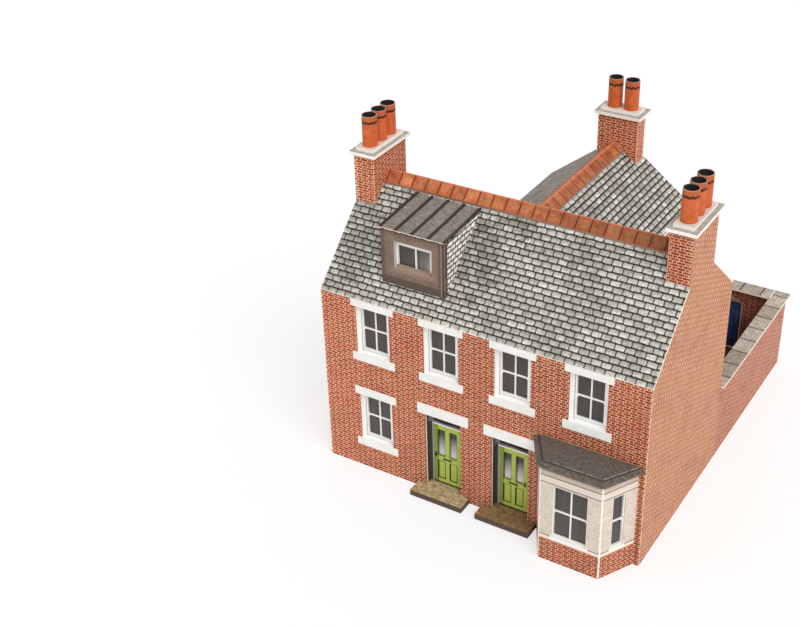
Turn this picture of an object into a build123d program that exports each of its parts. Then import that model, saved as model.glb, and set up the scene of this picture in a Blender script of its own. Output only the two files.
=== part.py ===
"""Terraced house row: a card model of a red brick pair with a shared rear wing and walled yards."""
import os

from build123d import *

os.makedirs("parts", exist_ok=True)

# Card thicknesses
wall_card = 1.5
frame_card = 0.8
glass_film = 0.4
trim_card = 0.4
yard_wall_card = 3.0

# Main house
house_width = 122.0
house_depth = 66.9
ridge_from_front = 33.5
ridge_height = 103.2
front_eaves_height = 70.85
rear_eaves_height = 74.8
front_eaves_overhang = 0.0
roof_card_drop = 1.1

# Rear wing
wing_width = 56.0
wing_length = 44.4
wing_ridge_drop = 6.45
wing_eaves_rise = 0.4
wing_eaves_overhang = 0.7

# Walled yards
yard_end_depth = 26.7
yard_wall_height = 30.6
coping_thickness = 0.8
coping_side_width = 6.3
coping_rear_width = 6.6
coping_overhang = 1.2
dividing_wall_width = 3.0

# Bay window, laid out as shares of the house's width
bay_centre_x = 0.3372 * house_width
bay_front_half = 0.09 * house_width
bay_wall_half = 0.1443 * house_width
bay_projection = 12.3
bay_brick_height = 9.15
bay_stone_height = 38.7
bay_roof_lip = 1.4
bay_roof_front_spread = 0.7
bay_roof_wall_spread = 2.1
bay_panel_setback = 1.1
bay_panel_front_inset = 0.6
bay_panel_wall_inset = 0.2
bay_roof_rim = 0.4
bay_roof_slope_height = 0.9
bay_panel_thickness = 0.5
bay_roof_projection = bay_projection + bay_roof_lip
bay_roof_front_half = bay_front_half + bay_roof_front_spread
bay_roof_wall_half = bay_wall_half + bay_roof_wall_spread
bay_panel_projection = bay_projection - bay_panel_setback
bay_panel_front_half = bay_front_half - bay_panel_front_inset
bay_panel_wall_half = bay_wall_half - bay_panel_wall_inset

# The front wall's place puts the row's origin under the middle of the whole model
wing_rear_from_front = house_depth + wing_length
yard_rear_from_front = wing_rear_from_front + yard_end_depth
depth_overall = bay_roof_projection + yard_rear_from_front + coping_overhang
front_y = bay_roof_projection - depth_overall / 2
half_width = house_width / 2
rear_y = front_y + house_depth
ridge_y = front_y + ridge_from_front
wing_half = wing_width / 2
wing_rear_y = front_y + wing_rear_from_front
yard_rear_y = front_y + yard_rear_from_front

# Windows and doors
window_half = 6.55
window_pitch = 0.2197 * house_width
upper_window_xs = [-1.5 * window_pitch, -0.5 * window_pitch, 0.5 * window_pitch, 1.5 * window_pitch]
upper_window_height = 0.2654 * front_eaves_height
upper_head_drop = 2.65
upper_head_z = front_eaves_height - upper_head_drop
upper_sill_z = upper_head_z - upper_window_height
ground_window_x = upper_window_xs[0]
ground_sill_z = 12.6
ground_head_z = 31.9
window_frame_side = 1.8
window_frame_bottom = 1.5
window_frame_top = 1.0
window_frame_lap = 1.2
sill_height = 3.05
sill_overhang = 1.95
lintel_overhang = 1.85
lintel_gap = 0.3
ground_lintel_height = 3.1
door_half = 0.0561 * house_width
door_x = 0.1066 * house_width
door_head_z = 32.7
door_lintel_height = 4.0
door_lintel_overhang = 3.15
step_height = 2.2
step_width = 0.1689 * house_width
step_projection = 6.2
door_recess = 2.7
door_leaf_half = 5.45
door_leaf_top_z = 27.5
transom_rail_height = 1.1
door_frame_lap = 1.4

# Chimneys, rising above the ridge they stand on
stack_width = 7.8
stack_length = 20.6
stack_centre_from_front = 34.4
stack_rise = 8.5
wing_stack_half = 7.8
wing_stack_depth = 7.7
wing_stack_rise = 10.55
wing_stack_shift = 0.9
cap_overhang = 1.2
cap_lower_thickness = 1.2
cap_upper_thickness = 1.1
cap_upper_inset = 0.5
pot_radius = 2.65
pot_bore_radius = 2.2
pot_height = 11.0
pot_pitch = 5.75
wing_pot_pitch = 6.4

# Dormer, its window a share of the front's height
dormer_centre_x = -0.223 * house_width
dormer_half = 12.3
dormer_front_from_front = 6.2
dormer_roof_fall = 1.6
dormer_roof_lip = 0.6
dormer_roof_side_lip = 0.3
dormer_back_gap = 0.33
dormer_window_half = 7.2
dormer_sill_share = 0.318
dormer_head_share = 0.82

# Roof surfaces, as heights over a distance back from the front wall
wing_ridge_height = ridge_height - wing_ridge_drop
wing_eaves_height = rear_eaves_height + wing_eaves_rise
front_rise = (ridge_height - front_eaves_height) / ridge_from_front
rear_fall = (ridge_height - rear_eaves_height) / (house_depth - ridge_from_front)
wing_fall = (wing_ridge_height - wing_eaves_height) / wing_half
under_ridge_z = ridge_height - roof_card_drop
under_front_z = front_eaves_height - roof_card_drop
under_rear_z = rear_eaves_height - roof_card_drop
stack_top_z = ridge_height + stack_rise
wing_stack_top_z = wing_ridge_height + wing_stack_rise

# Cutting solids reach this far past the card they cut
cut_margin = 5.0

# Gable walls, each with the outer face of its chimney
stack_y = front_y + stack_centre_from_front
stack_height = stack_top_z - front_eaves_height
stack_mid_z = stack_top_z - stack_height / 2
gable_profile = [
    (front_y + wall_card, 0),
    (rear_y, 0),
    (rear_y, under_rear_z),
    (ridge_y, under_ridge_z),
    (front_y + wall_card, under_front_z + front_rise * wall_card),
]

with BuildPart() as left_gable_wall:
    with BuildSketch(Plane.YZ.offset(-half_width)):
        Polygon(*gable_profile, align=None)
        with Locations((stack_y, stack_mid_z)):
            Rectangle(stack_length, stack_height)
    extrude(amount=wall_card)
left_gable_wall.part.label = "left_gable_wall"
export_step(left_gable_wall.part, "parts/left_gable_wall.step")

with BuildPart() as right_gable_wall:
    with BuildSketch(Plane.YZ.offset(half_width - wall_card)):
        Polygon(*gable_profile, align=None)
        with Locations((stack_y, stack_mid_z)):
            Rectangle(stack_length, stack_height)
    extrude(amount=wall_card)
right_gable_wall.part.label = "right_gable_wall"
export_step(right_gable_wall.part, "parts/right_gable_wall.step")

# Front wall with its windows and doorways
front_wall_profile = [
    (front_y, 0),
    (front_y + wall_card, 0),
    (front_y + wall_card, under_front_z + front_rise * wall_card),
    (front_y, under_front_z),
]

with BuildPart() as front_wall:
    with BuildSketch(Plane.YZ.offset(-half_width)):
        Polygon(*front_wall_profile, align=None)
    extrude(amount=house_width)
    with BuildSketch(Plane.XZ.offset(-front_y)):
        with Locations(*[(x, (upper_sill_z + upper_head_z) / 2) for x in upper_window_xs]):
            Rectangle(2 * window_half, upper_head_z - upper_sill_z)
        with Locations((ground_window_x, (ground_sill_z + ground_head_z) / 2)):
            Rectangle(2 * window_half, ground_head_z - ground_sill_z)
        with Locations((-door_x, door_head_z / 2), (door_x, door_head_z / 2)):
            Rectangle(2 * door_half, door_head_z)
    extrude(amount=-wall_card, mode=Mode.SUBTRACT)
front_wall.part.label = "front_wall"
export_step(front_wall.part, "parts/front_wall.step")

# Rear wall of the main house, repeated from the front's storeys
rear_window_x = (half_width + wing_half) / 2
rear_upper_drop = 16.0
rear_upper_z = rear_eaves_height - rear_upper_drop
rear_ground_z = (ground_sill_z + ground_head_z) / 2
rear_wall_profile = [
    (rear_y - wall_card, 0),
    (rear_y, 0),
    (rear_y, under_rear_z),
    (rear_y - wall_card, under_rear_z + rear_fall * wall_card),
]
rear_wall_windows = [
    (-rear_window_x, rear_upper_z),
    (rear_window_x, rear_upper_z),
    (-rear_window_x, rear_ground_z),
    (rear_window_x, rear_ground_z),
]
rear_hole_height = upper_head_z - upper_sill_z

with BuildPart() as rear_wall:
    with BuildSketch(Plane.YZ.offset(wall_card - half_width)):
        Polygon(*rear_wall_profile, align=None)
    extrude(amount=house_width - 2 * wall_card)
    with BuildSketch(Plane.XZ.offset(-rear_y)):
        with Locations(*rear_wall_windows):
            Rectangle(2 * window_half, rear_hole_height)
    extrude(amount=wall_card, mode=Mode.SUBTRACT)
rear_wall.part.label = "rear_wall"
export_step(rear_wall.part, "parts/rear_wall.step")

# House floor, inside the walls and cut back round the thresholds
floor_card = 1.5
threshold_depth = 2.0
threshold_gap = 0.1

with BuildPart() as house_floor:
    with Locations((0, (front_y + rear_y) / 2, floor_card / 2)):
        Box(house_width - 2 * wall_card, house_depth - 2 * wall_card, floor_card)
    with Locations((-door_x, front_y + wall_card, 0), (door_x, front_y + wall_card, 0)):
        Box(
            2 * (door_half + door_frame_lap + threshold_gap),
            2 * (threshold_depth + threshold_gap),
            2 * cut_margin,
            mode=Mode.SUBTRACT,
        )
house_floor.part.label = "house_floor"
export_step(house_floor.part, "parts/house_floor.step")

# Main roof, two slate sheets over the gables, cut out round the chimneys
front_sheet_profile = [
    (front_y - front_eaves_overhang, front_eaves_height - front_rise * front_eaves_overhang),
    (ridge_y, ridge_height),
    (ridge_y, under_ridge_z),
    (front_y - front_eaves_overhang, under_front_z - front_rise * front_eaves_overhang),
]
rear_sheet_profile = [
    (ridge_y, ridge_height),
    (rear_y, rear_eaves_height),
    (rear_y, under_rear_z),
    (ridge_y, under_ridge_z),
]

with BuildPart() as main_roof_front:
    with BuildSketch(Plane.YZ.offset(-half_width)):
        Polygon(*front_sheet_profile, align=None)
    extrude(amount=house_width)
    with Locations((-half_width, stack_y, stack_mid_z), (half_width, stack_y, stack_mid_z)):
        Box(2 * wall_card, stack_length, stack_height, mode=Mode.SUBTRACT)
main_roof_front.part.label = "main_roof_front"
export_step(main_roof_front.part, "parts/main_roof_front.step")

with BuildPart() as main_roof_rear:
    with BuildSketch(Plane.YZ.offset(-half_width)):
        Polygon(*rear_sheet_profile, align=None)
    extrude(amount=house_width)
    with Locations((-half_width, stack_y, stack_mid_z), (half_width, stack_y, stack_mid_z)):
        Box(2 * wall_card, stack_length, stack_height, mode=Mode.SUBTRACT)
main_roof_rear.part.label = "main_roof_rear"
export_step(main_roof_rear.part, "parts/main_roof_rear.step")

# Ridge tiles, a folded strip between the chimneys
ridge_strip_drop = 0.85
ridge_strip_reach = 3.5
ridge_strip_profile = [
    (ridge_y, ridge_height + ridge_strip_drop),
    (ridge_y + ridge_strip_reach, ridge_height + ridge_strip_drop - rear_fall * ridge_strip_reach),
    (ridge_y + ridge_strip_reach, ridge_height - rear_fall * ridge_strip_reach),
    (ridge_y, ridge_height),
    (ridge_y - ridge_strip_reach, ridge_height - front_rise * ridge_strip_reach),
    (ridge_y - ridge_strip_reach, ridge_height + ridge_strip_drop - front_rise * ridge_strip_reach),
]
ridge_strip_half = half_width - stack_width

with BuildPart() as main_ridge_tiles:
    with BuildSketch(Plane.YZ.offset(-ridge_strip_half)):
        Polygon(*ridge_strip_profile, align=None)
    extrude(amount=2 * ridge_strip_half)
main_ridge_tiles.part.label = "main_ridge_tiles"
export_step(main_ridge_tiles.part, "parts/main_ridge_tiles.step")

# Gable chimneys: three-sided stacks closed by the gable walls, stepped caps and three pots each
stack_centre_x = half_width - stack_width / 2
roof_body_profile = [
    (front_y, 0),
    (front_y, front_eaves_height),
    (ridge_y, ridge_height),
    (rear_y, rear_eaves_height),
    (rear_y, 0),
]

with BuildPart() as gable_chimney_stacks:
    with BuildSketch(Plane.XY.offset(stack_top_z)):
        with Locations((-stack_centre_x, stack_y), (stack_centre_x, stack_y)):
            Rectangle(stack_width, stack_length)
        with Locations((-half_width, stack_y), (half_width, stack_y)):
            Rectangle(2 * (stack_width - wall_card), stack_length - 2 * wall_card, mode=Mode.SUBTRACT)
            Rectangle(2 * wall_card, stack_length, mode=Mode.SUBTRACT)
    extrude(amount=-stack_height)
    with BuildSketch(Plane.YZ.offset(-half_width - cut_margin)):
        Polygon(*roof_body_profile, align=None)
    extrude(amount=house_width + 2 * cut_margin, mode=Mode.SUBTRACT)
gable_chimney_stacks.part.label = "gable_chimney_stacks"
export_step(gable_chimney_stacks.part, "parts/gable_chimney_stacks.step")

cap_top_z = stack_top_z + cap_lower_thickness + cap_upper_thickness

with BuildPart() as gable_chimney_caps:
    with BuildSketch(Plane.XY.offset(stack_top_z)):
        with Locations((-stack_centre_x, stack_y), (stack_centre_x, stack_y)):
            Rectangle(stack_width + 2 * cap_overhang, stack_length + 2 * cap_overhang)
    extrude(amount=cap_lower_thickness)
    with BuildSketch(Plane.XY.offset(stack_top_z + cap_lower_thickness)):
        with Locations((-stack_centre_x, stack_y), (stack_centre_x, stack_y)):
            Rectangle(stack_width - 2 * cap_upper_inset, stack_length - 2 * cap_upper_inset)
    extrude(amount=cap_upper_thickness)
gable_chimney_caps.part.label = "gable_chimney_caps"
export_step(gable_chimney_caps.part, "parts/gable_chimney_caps.step")

gable_pot_ys = [stack_y - pot_pitch, stack_y, stack_y + pot_pitch]

with BuildPart() as gable_chimney_pots:
    with BuildSketch(Plane.XY.offset(cap_top_z)):
        with Locations(*[(s * stack_centre_x, y) for s in (-1, 1) for y in gable_pot_ys]):
            Circle(pot_radius)
            Circle(pot_bore_radius, mode=Mode.SUBTRACT)
    extrude(amount=pot_height)
gable_chimney_pots.part.label = "gable_chimney_pots"
export_step(gable_chimney_pots.part, "parts/gable_chimney_pots.step")

# Front windows: white card rings behind the openings, with film behind them
glass_half = window_half - window_frame_side
ring_half = window_half + window_frame_lap
front_ring_y = front_y + wall_card + frame_card / 2
front_film_y = front_y + wall_card + frame_card + glass_film / 2
upper_mid_z = (upper_sill_z + upper_head_z) / 2
ground_mid_z = (ground_sill_z + ground_head_z) / 2
front_hole_height = upper_head_z - upper_sill_z
ground_hole_height = ground_head_z - ground_sill_z
glass_shift_z = (window_frame_bottom - window_frame_top) / 2

with BuildPart() as front_window_frames:
    with Locations(*[(x, front_ring_y, upper_mid_z) for x in upper_window_xs]):
        Box(2 * ring_half, frame_card, front_hole_height + 2 * window_frame_lap)
    with Locations((ground_window_x, front_ring_y, ground_mid_z)):
        Box(2 * ring_half, frame_card, ground_hole_height + 2 * window_frame_lap)
    with Locations(*[(x, front_ring_y, upper_mid_z + glass_shift_z) for x in upper_window_xs]):
        Box(
            2 * glass_half,
            cut_margin,
            front_hole_height - window_frame_bottom - window_frame_top,
            mode=Mode.SUBTRACT,
        )
    with Locations((ground_window_x, front_ring_y, ground_mid_z + glass_shift_z)):
        Box(
            2 * glass_half,
            cut_margin,
            ground_hole_height - window_frame_bottom - window_frame_top,
            mode=Mode.SUBTRACT,
        )
front_window_frames.part.label = "front_window_frames"
export_step(front_window_frames.part, "parts/front_window_frames.step")

with BuildPart() as front_glazing:
    with Locations(*[(x, front_film_y, upper_mid_z) for x in upper_window_xs]):
        Box(2 * ring_half, glass_film, front_hole_height + 2 * window_frame_lap)
    with Locations((ground_window_x, front_film_y, ground_mid_z)):
        Box(2 * ring_half, glass_film, ground_hole_height + 2 * window_frame_lap)
front_glazing.part.label = "front_glazing"
export_step(front_glazing.part, "parts/front_glazing.step")

# Lintels and sills, thin white card on the brick face
upper_lintel_top_z = front_eaves_height - lintel_gap
trim_y = front_y - trim_card / 2
sill_half = window_half + sill_overhang
lintel_half = window_half + lintel_overhang
door_lintel_half = door_half + door_lintel_overhang

with BuildPart() as front_lintels_and_sills:
    with Locations(*[(x, trim_y, (upper_head_z + upper_lintel_top_z) / 2) for x in upper_window_xs]):
        Box(2 * lintel_half, trim_card, upper_lintel_top_z - upper_head_z)
    with Locations(*[(x, trim_y, upper_sill_z - sill_height / 2) for x in upper_window_xs]):
        Box(2 * sill_half, trim_card, sill_height)
    with Locations((ground_window_x, trim_y, ground_head_z + ground_lintel_height / 2)):
        Box(2 * lintel_half, trim_card, ground_lintel_height)
    with Locations((ground_window_x, trim_y, ground_sill_z - sill_height / 2)):
        Box(2 * sill_half, trim_card, sill_height)
    with Locations(*[(x, trim_y, door_head_z + door_lintel_height / 2) for x in (-door_x, door_x)]):
        Box(2 * door_lintel_half, trim_card, door_lintel_height)
front_lintels_and_sills.part.label = "front_lintels_and_sills"
export_step(front_lintels_and_sills.part, "parts/front_lintels_and_sills.step")

# Front doors: recessed frames with a transom rail, panelled leaves, film and stone steps
door_xs = [-door_x, door_x]
door_leaf_y = front_y + door_recess
door_frame_depth = door_recess + frame_card - wall_card
door_frame_half = door_half + door_frame_lap
door_frame_top_z = door_head_z + door_frame_lap
door_frame_y = front_y + wall_card + door_frame_depth / 2
transom_glass_z = door_leaf_top_z + transom_rail_height
leaf_height = door_leaf_top_z - step_height

with BuildPart() as front_door_frames:
    with Locations(*[(x, door_frame_y, (step_height + door_frame_top_z) / 2) for x in door_xs]):
        Box(2 * door_frame_half, door_frame_depth, door_frame_top_z - step_height)
    with Locations(*[(x, door_leaf_y - cut_margin, (door_head_z + step_height) / 2) for x in door_xs]):
        Box(2 * door_half, 2 * cut_margin, door_head_z - step_height, mode=Mode.SUBTRACT)
    with Locations(*[(x, door_leaf_y, (step_height + door_leaf_top_z) / 2) for x in door_xs]):
        Box(2 * door_leaf_half, 2 * cut_margin, leaf_height, mode=Mode.SUBTRACT)
    with Locations(*[(x, door_leaf_y, (transom_glass_z + door_head_z) / 2) for x in door_xs]):
        Box(2 * door_leaf_half, 2 * cut_margin, door_head_z - transom_glass_z, mode=Mode.SUBTRACT)
front_door_frames.part.label = "front_door_frames"
export_step(front_door_frames.part, "parts/front_door_frames.step")

leaf_light_offset = 2.35
leaf_light_width = 2.9
leaf_light_height = 11.3
leaf_light_rise = 17.75
leaf_panel_height = 7.2
leaf_panel_rise = 6.3
leaf_panel_depth = 0.3
leaf_light_xs = [x + s * leaf_light_offset for x in door_xs for s in (-1, 1)]

with BuildPart() as front_doors:
    with Locations(*[(x, door_leaf_y + frame_card / 2, step_height + leaf_height / 2) for x in door_xs]):
        Box(2 * door_leaf_half, frame_card, leaf_height)
    with Locations(*[(x, door_leaf_y, step_height + leaf_light_rise) for x in leaf_light_xs]):
        Box(leaf_light_width, cut_margin, leaf_light_height, mode=Mode.SUBTRACT)
    with Locations(*[(x, door_leaf_y, step_height + leaf_panel_rise) for x in leaf_light_xs]):
        Box(leaf_light_width, 2 * leaf_panel_depth, leaf_panel_height, mode=Mode.SUBTRACT)
front_doors.part.label = "front_doors"
export_step(front_doors.part, "parts/front_doors.step")

door_film_y = door_leaf_y + frame_card + glass_film / 2

with BuildPart() as front_door_glazing:
    with Locations(*[(x, door_film_y, (step_height + door_frame_top_z) / 2) for x in door_xs]):
        Box(2 * door_frame_half, glass_film, door_frame_top_z - step_height)
front_door_glazing.part.label = "front_door_glazing"
export_step(front_door_glazing.part, "parts/front_door_glazing.step")

with BuildPart() as door_steps:
    with Locations(*[(x, front_y - step_projection / 2, step_height / 2) for x in door_xs]):
        Box(step_width, step_projection, step_height)
    with Locations(*[(x, front_y + wall_card / 2, step_height / 2) for x in door_xs]):
        Box(2 * door_half, wall_card, step_height)
    with Locations(*[(x, front_y + wall_card + threshold_depth / 2, step_height / 2) for x in door_xs]):
        Box(2 * door_frame_half, threshold_depth, step_height)
door_steps.part.label = "door_steps"
export_step(door_steps.part, "parts/door_steps.step")

# Bay window: brick base, stonework with three openings, frames, film and lead roof
bay_outer = [
    (bay_centre_x - bay_wall_half, front_y),
    (bay_centre_x - bay_front_half, front_y - bay_projection),
    (bay_centre_x + bay_front_half, front_y - bay_projection),
    (bay_centre_x + bay_wall_half, front_y),
]
splay_run = bay_wall_half - bay_front_half
splay_length = (splay_run**2 + bay_projection**2) ** 0.5
splay_inset = wall_card * splay_length / bay_projection
bay_inner_front_half = bay_front_half + splay_run * wall_card / bay_projection - splay_inset
bay_inner = [
    (bay_centre_x - bay_wall_half + splay_inset, front_y),
    (bay_centre_x - bay_inner_front_half, front_y - bay_projection + wall_card),
    (bay_centre_x + bay_inner_front_half, front_y - bay_projection + wall_card),
    (bay_centre_x + bay_wall_half - splay_inset, front_y),
]
bay_window_half = 6.2
bay_sill_z = 10.7
bay_head_z = 31.7
bay_mid_z = (bay_sill_z + bay_head_z) / 2
splay_window_half = 2.45
splay_mid = 6.8
right_splay = Plane(
    origin=(bay_centre_x + bay_front_half, front_y - bay_projection, 0),
    x_dir=(splay_run, bay_projection, 0),
    z_dir=(bay_projection, -splay_run, 0),
)
left_splay = Plane(
    origin=(bay_centre_x - bay_front_half, front_y - bay_projection, 0),
    x_dir=(splay_run, -bay_projection, 0),
    z_dir=(-bay_projection, -splay_run, 0),
)

with BuildPart() as bay_base_wall:
    with BuildSketch(Plane.XY):
        Polygon(*bay_outer, align=None)
        Polygon(*bay_inner, align=None, mode=Mode.SUBTRACT)
    extrude(amount=bay_brick_height)
bay_base_wall.part.label = "bay_base_wall"
export_step(bay_base_wall.part, "parts/bay_base_wall.step")

with BuildPart() as bay_stonework:
    with BuildSketch(Plane.XY.offset(bay_brick_height)):
        Polygon(*bay_outer, align=None)
        Polygon(*bay_inner, align=None, mode=Mode.SUBTRACT)
    extrude(amount=bay_stone_height - bay_brick_height)
    with BuildSketch(Plane.XZ.offset(bay_projection - front_y)):
        with Locations((bay_centre_x, bay_mid_z)):
            Rectangle(2 * bay_window_half, bay_head_z - bay_sill_z)
    extrude(amount=-wall_card, mode=Mode.SUBTRACT)
    with BuildSketch(right_splay):
        with Locations((splay_mid, bay_mid_z)):
            Rectangle(2 * splay_window_half, bay_head_z - bay_sill_z)
    extrude(amount=-wall_card, mode=Mode.SUBTRACT)
    with BuildSketch(left_splay):
        with Locations((-splay_mid, bay_mid_z)):
            Rectangle(2 * splay_window_half, bay_head_z - bay_sill_z)
    extrude(amount=-wall_card, mode=Mode.SUBTRACT)
bay_stonework.part.label = "bay_stonework"
export_step(bay_stonework.part, "parts/bay_stonework.step")

bay_frame_recess = 0.4
bay_frame_side = 0.4
bay_frame_bottom = 0.8
splay_frame_side = 0.45
bay_window_width = 2 * bay_window_half
bay_window_height = bay_head_z - bay_sill_z
bay_pane_width = bay_window_width - 2 * bay_frame_side
bay_pane_height = bay_window_height - bay_frame_side - bay_frame_bottom
bay_pane_z = (bay_sill_z + bay_frame_bottom + bay_head_z - bay_frame_side) / 2
splay_window_width = 2 * splay_window_half
splay_pane_width = splay_window_width - 2 * splay_frame_side
bay_film_depth = bay_frame_recess + frame_card

with BuildPart() as bay_window_frames:
    with BuildSketch(Plane.XZ.offset(bay_projection - front_y - bay_frame_recess)):
        with Locations((bay_centre_x, bay_mid_z)):
            Rectangle(bay_window_width, bay_window_height)
        with Locations((bay_centre_x, bay_pane_z)):
            Rectangle(bay_pane_width, bay_pane_height, mode=Mode.SUBTRACT)
    extrude(amount=-frame_card)
    with BuildSketch(right_splay.offset(-bay_frame_recess)):
        with Locations((splay_mid, bay_mid_z)):
            Rectangle(splay_window_width, bay_window_height)
        with Locations((splay_mid, bay_pane_z)):
            Rectangle(splay_pane_width, bay_pane_height, mode=Mode.SUBTRACT)
    extrude(amount=-frame_card)
    with BuildSketch(left_splay.offset(-bay_frame_recess)):
        with Locations((-splay_mid, bay_mid_z)):
            Rectangle(splay_window_width, bay_window_height)
        with Locations((-splay_mid, bay_pane_z)):
            Rectangle(splay_pane_width, bay_pane_height, mode=Mode.SUBTRACT)
    extrude(amount=-frame_card)
bay_window_frames.part.label = "bay_window_frames"
export_step(bay_window_frames.part, "parts/bay_window_frames.step")

with BuildPart() as bay_glazing:
    with BuildSketch(Plane.XZ.offset(bay_projection - front_y - bay_film_depth)):
        with Locations((bay_centre_x, bay_mid_z)):
            Rectangle(bay_window_width, bay_window_height)
    extrude(amount=-glass_film)
    with BuildSketch(right_splay.offset(-bay_film_depth)):
        with Locations((splay_mid, bay_mid_z)):
            Rectangle(splay_window_width, bay_window_height)
    extrude(amount=-glass_film)
    with BuildSketch(left_splay.offset(-bay_film_depth)):
        with Locations((-splay_mid, bay_mid_z)):
            Rectangle(splay_window_width, bay_window_height)
    extrude(amount=-glass_film)
bay_glazing.part.label = "bay_glazing"
export_step(bay_glazing.part, "parts/bay_glazing.step")

bay_roof_outer = [
    (bay_centre_x - bay_roof_wall_half, front_y),
    (bay_centre_x - bay_roof_front_half, front_y - bay_roof_projection),
    (bay_centre_x + bay_roof_front_half, front_y - bay_roof_projection),
    (bay_centre_x + bay_roof_wall_half, front_y),
]
bay_roof_panel = [
    (bay_centre_x - bay_panel_wall_half, front_y),
    (bay_centre_x - bay_panel_front_half, front_y - bay_panel_projection),
    (bay_centre_x + bay_panel_front_half, front_y - bay_panel_projection),
    (bay_centre_x + bay_panel_wall_half, front_y),
]
bay_slope_base_z = bay_stone_height + bay_roof_rim
bay_slope_top_z = bay_slope_base_z + bay_roof_slope_height

with BuildPart() as bay_roof:
    with BuildSketch(Plane.XY.offset(bay_stone_height)):
        Polygon(*bay_roof_outer, align=None)
    extrude(amount=bay_roof_rim)
    with BuildSketch(Plane.XY.offset(bay_slope_base_z)):
        Polygon(*bay_roof_outer, align=None)
    with BuildSketch(Plane.XY.offset(bay_slope_top_z)):
        Polygon(*bay_roof_panel, align=None)
    loft(ruled=True)
    with BuildSketch(Plane.XY.offset(bay_slope_top_z)):
        Polygon(*bay_roof_panel, align=None)
    extrude(amount=bay_panel_thickness)
bay_roof.part.label = "bay_roof"
export_step(bay_roof.part, "parts/bay_roof.step")

# Dormer: front with a two-light window, slated cheeks and a nearly flat battened roof
dormer_front_y = front_y + dormer_front_from_front
dormer_roof_back_y = ridge_y - ridge_strip_reach - dormer_back_gap
dormer_roof_back_z = ridge_height - front_rise * (ridge_y - dormer_roof_back_y)
dormer_roof_front_z = dormer_roof_back_z - dormer_roof_fall
dormer_roof_run = dormer_roof_back_y - dormer_front_y + dormer_roof_lip
dormer_roof_rise = dormer_roof_fall / dormer_roof_run
dormer_under_z = dormer_roof_front_z + dormer_roof_rise * dormer_roof_lip - frame_card
dormer_base_z = front_eaves_height + front_rise * dormer_front_from_front
dormer_front_height = dormer_under_z - dormer_base_z
dormer_meet_y = dormer_front_y + dormer_front_height / (front_rise - dormer_roof_rise)
dormer_meet_z = front_eaves_height + front_rise * (dormer_meet_y - front_y)
dormer_front_profile = [
    (dormer_front_y, dormer_base_z),
    (dormer_front_y + wall_card, dormer_base_z + front_rise * wall_card),
    (dormer_front_y + wall_card, dormer_under_z + dormer_roof_rise * wall_card),
    (dormer_front_y, dormer_under_z),
]
dormer_cheek_profile = [
    (dormer_front_y + wall_card, dormer_base_z + front_rise * wall_card),
    (dormer_meet_y, dormer_meet_z),
    (dormer_front_y + wall_card, dormer_under_z + dormer_roof_rise * wall_card),
]
dormer_roof_profile = [
    (dormer_front_y - dormer_roof_lip, dormer_roof_front_z),
    (dormer_roof_back_y, dormer_roof_back_z),
    (dormer_meet_y, dormer_meet_z),
    (dormer_front_y - dormer_roof_lip, dormer_roof_front_z - frame_card),
]
dormer_sill_z = dormer_base_z + dormer_sill_share * dormer_front_height
dormer_head_z = dormer_base_z + dormer_head_share * dormer_front_height
dormer_mid_z = (dormer_sill_z + dormer_head_z) / 2
dormer_hole_height = dormer_head_z - dormer_sill_z

with BuildPart() as dormer_front:
    with BuildSketch(Plane.YZ.offset(dormer_centre_x - dormer_half)):
        Polygon(*dormer_front_profile, align=None)
    extrude(amount=2 * dormer_half)
    with Locations((dormer_centre_x, dormer_front_y, dormer_mid_z)):
        Box(2 * dormer_window_half, cut_margin, dormer_hole_height, mode=Mode.SUBTRACT)
dormer_front.part.label = "dormer_front"
export_step(dormer_front.part, "parts/dormer_front.step")

with BuildPart() as dormer_cheeks:
    with BuildSketch(Plane.YZ.offset(dormer_centre_x - dormer_half)):
        Polygon(*dormer_cheek_profile, align=None)
    extrude(amount=wall_card)
    with BuildSketch(Plane.YZ.offset(dormer_centre_x + dormer_half - wall_card)):
        Polygon(*dormer_cheek_profile, align=None)
    extrude(amount=wall_card)
dormer_cheeks.part.label = "dormer_cheeks"
export_step(dormer_cheeks.part, "parts/dormer_cheeks.step")

with BuildPart() as dormer_roof:
    with BuildSketch(Plane.YZ.offset(dormer_centre_x - dormer_half - dormer_roof_side_lip)):
        Polygon(*dormer_roof_profile, align=None)
    extrude(amount=2 * (dormer_half + dormer_roof_side_lip))
dormer_roof.part.label = "dormer_roof"
export_step(dormer_roof.part, "parts/dormer_roof.step")

dormer_ring_y = dormer_front_y + wall_card + frame_card / 2
dormer_film_y = dormer_front_y + wall_card + frame_card + glass_film / 2
dormer_frame_side = 0.6
dormer_frame_lap = 1.0
dormer_ring_width = 2 * (dormer_window_half + dormer_frame_lap)
dormer_ring_height = dormer_hole_height + 2 * dormer_frame_lap

with BuildPart() as dormer_window_frame:
    with Locations((dormer_centre_x, dormer_ring_y, dormer_mid_z)):
        Box(dormer_ring_width, frame_card, dormer_ring_height)
        Box(
            2 * (dormer_window_half - dormer_frame_side),
            cut_margin,
            dormer_hole_height - 2 * dormer_frame_side,
            mode=Mode.SUBTRACT,
        )
dormer_window_frame.part.label = "dormer_window_frame"
export_step(dormer_window_frame.part, "parts/dormer_window_frame.step")

with BuildPart() as dormer_glazing:
    with Locations((dormer_centre_x, dormer_film_y, dormer_mid_z)):
        Box(dormer_ring_width, glass_film, dormer_ring_height)
dormer_glazing.part.label = "dormer_glazing"
export_step(dormer_glazing.part, "parts/dormer_glazing.step")

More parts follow.
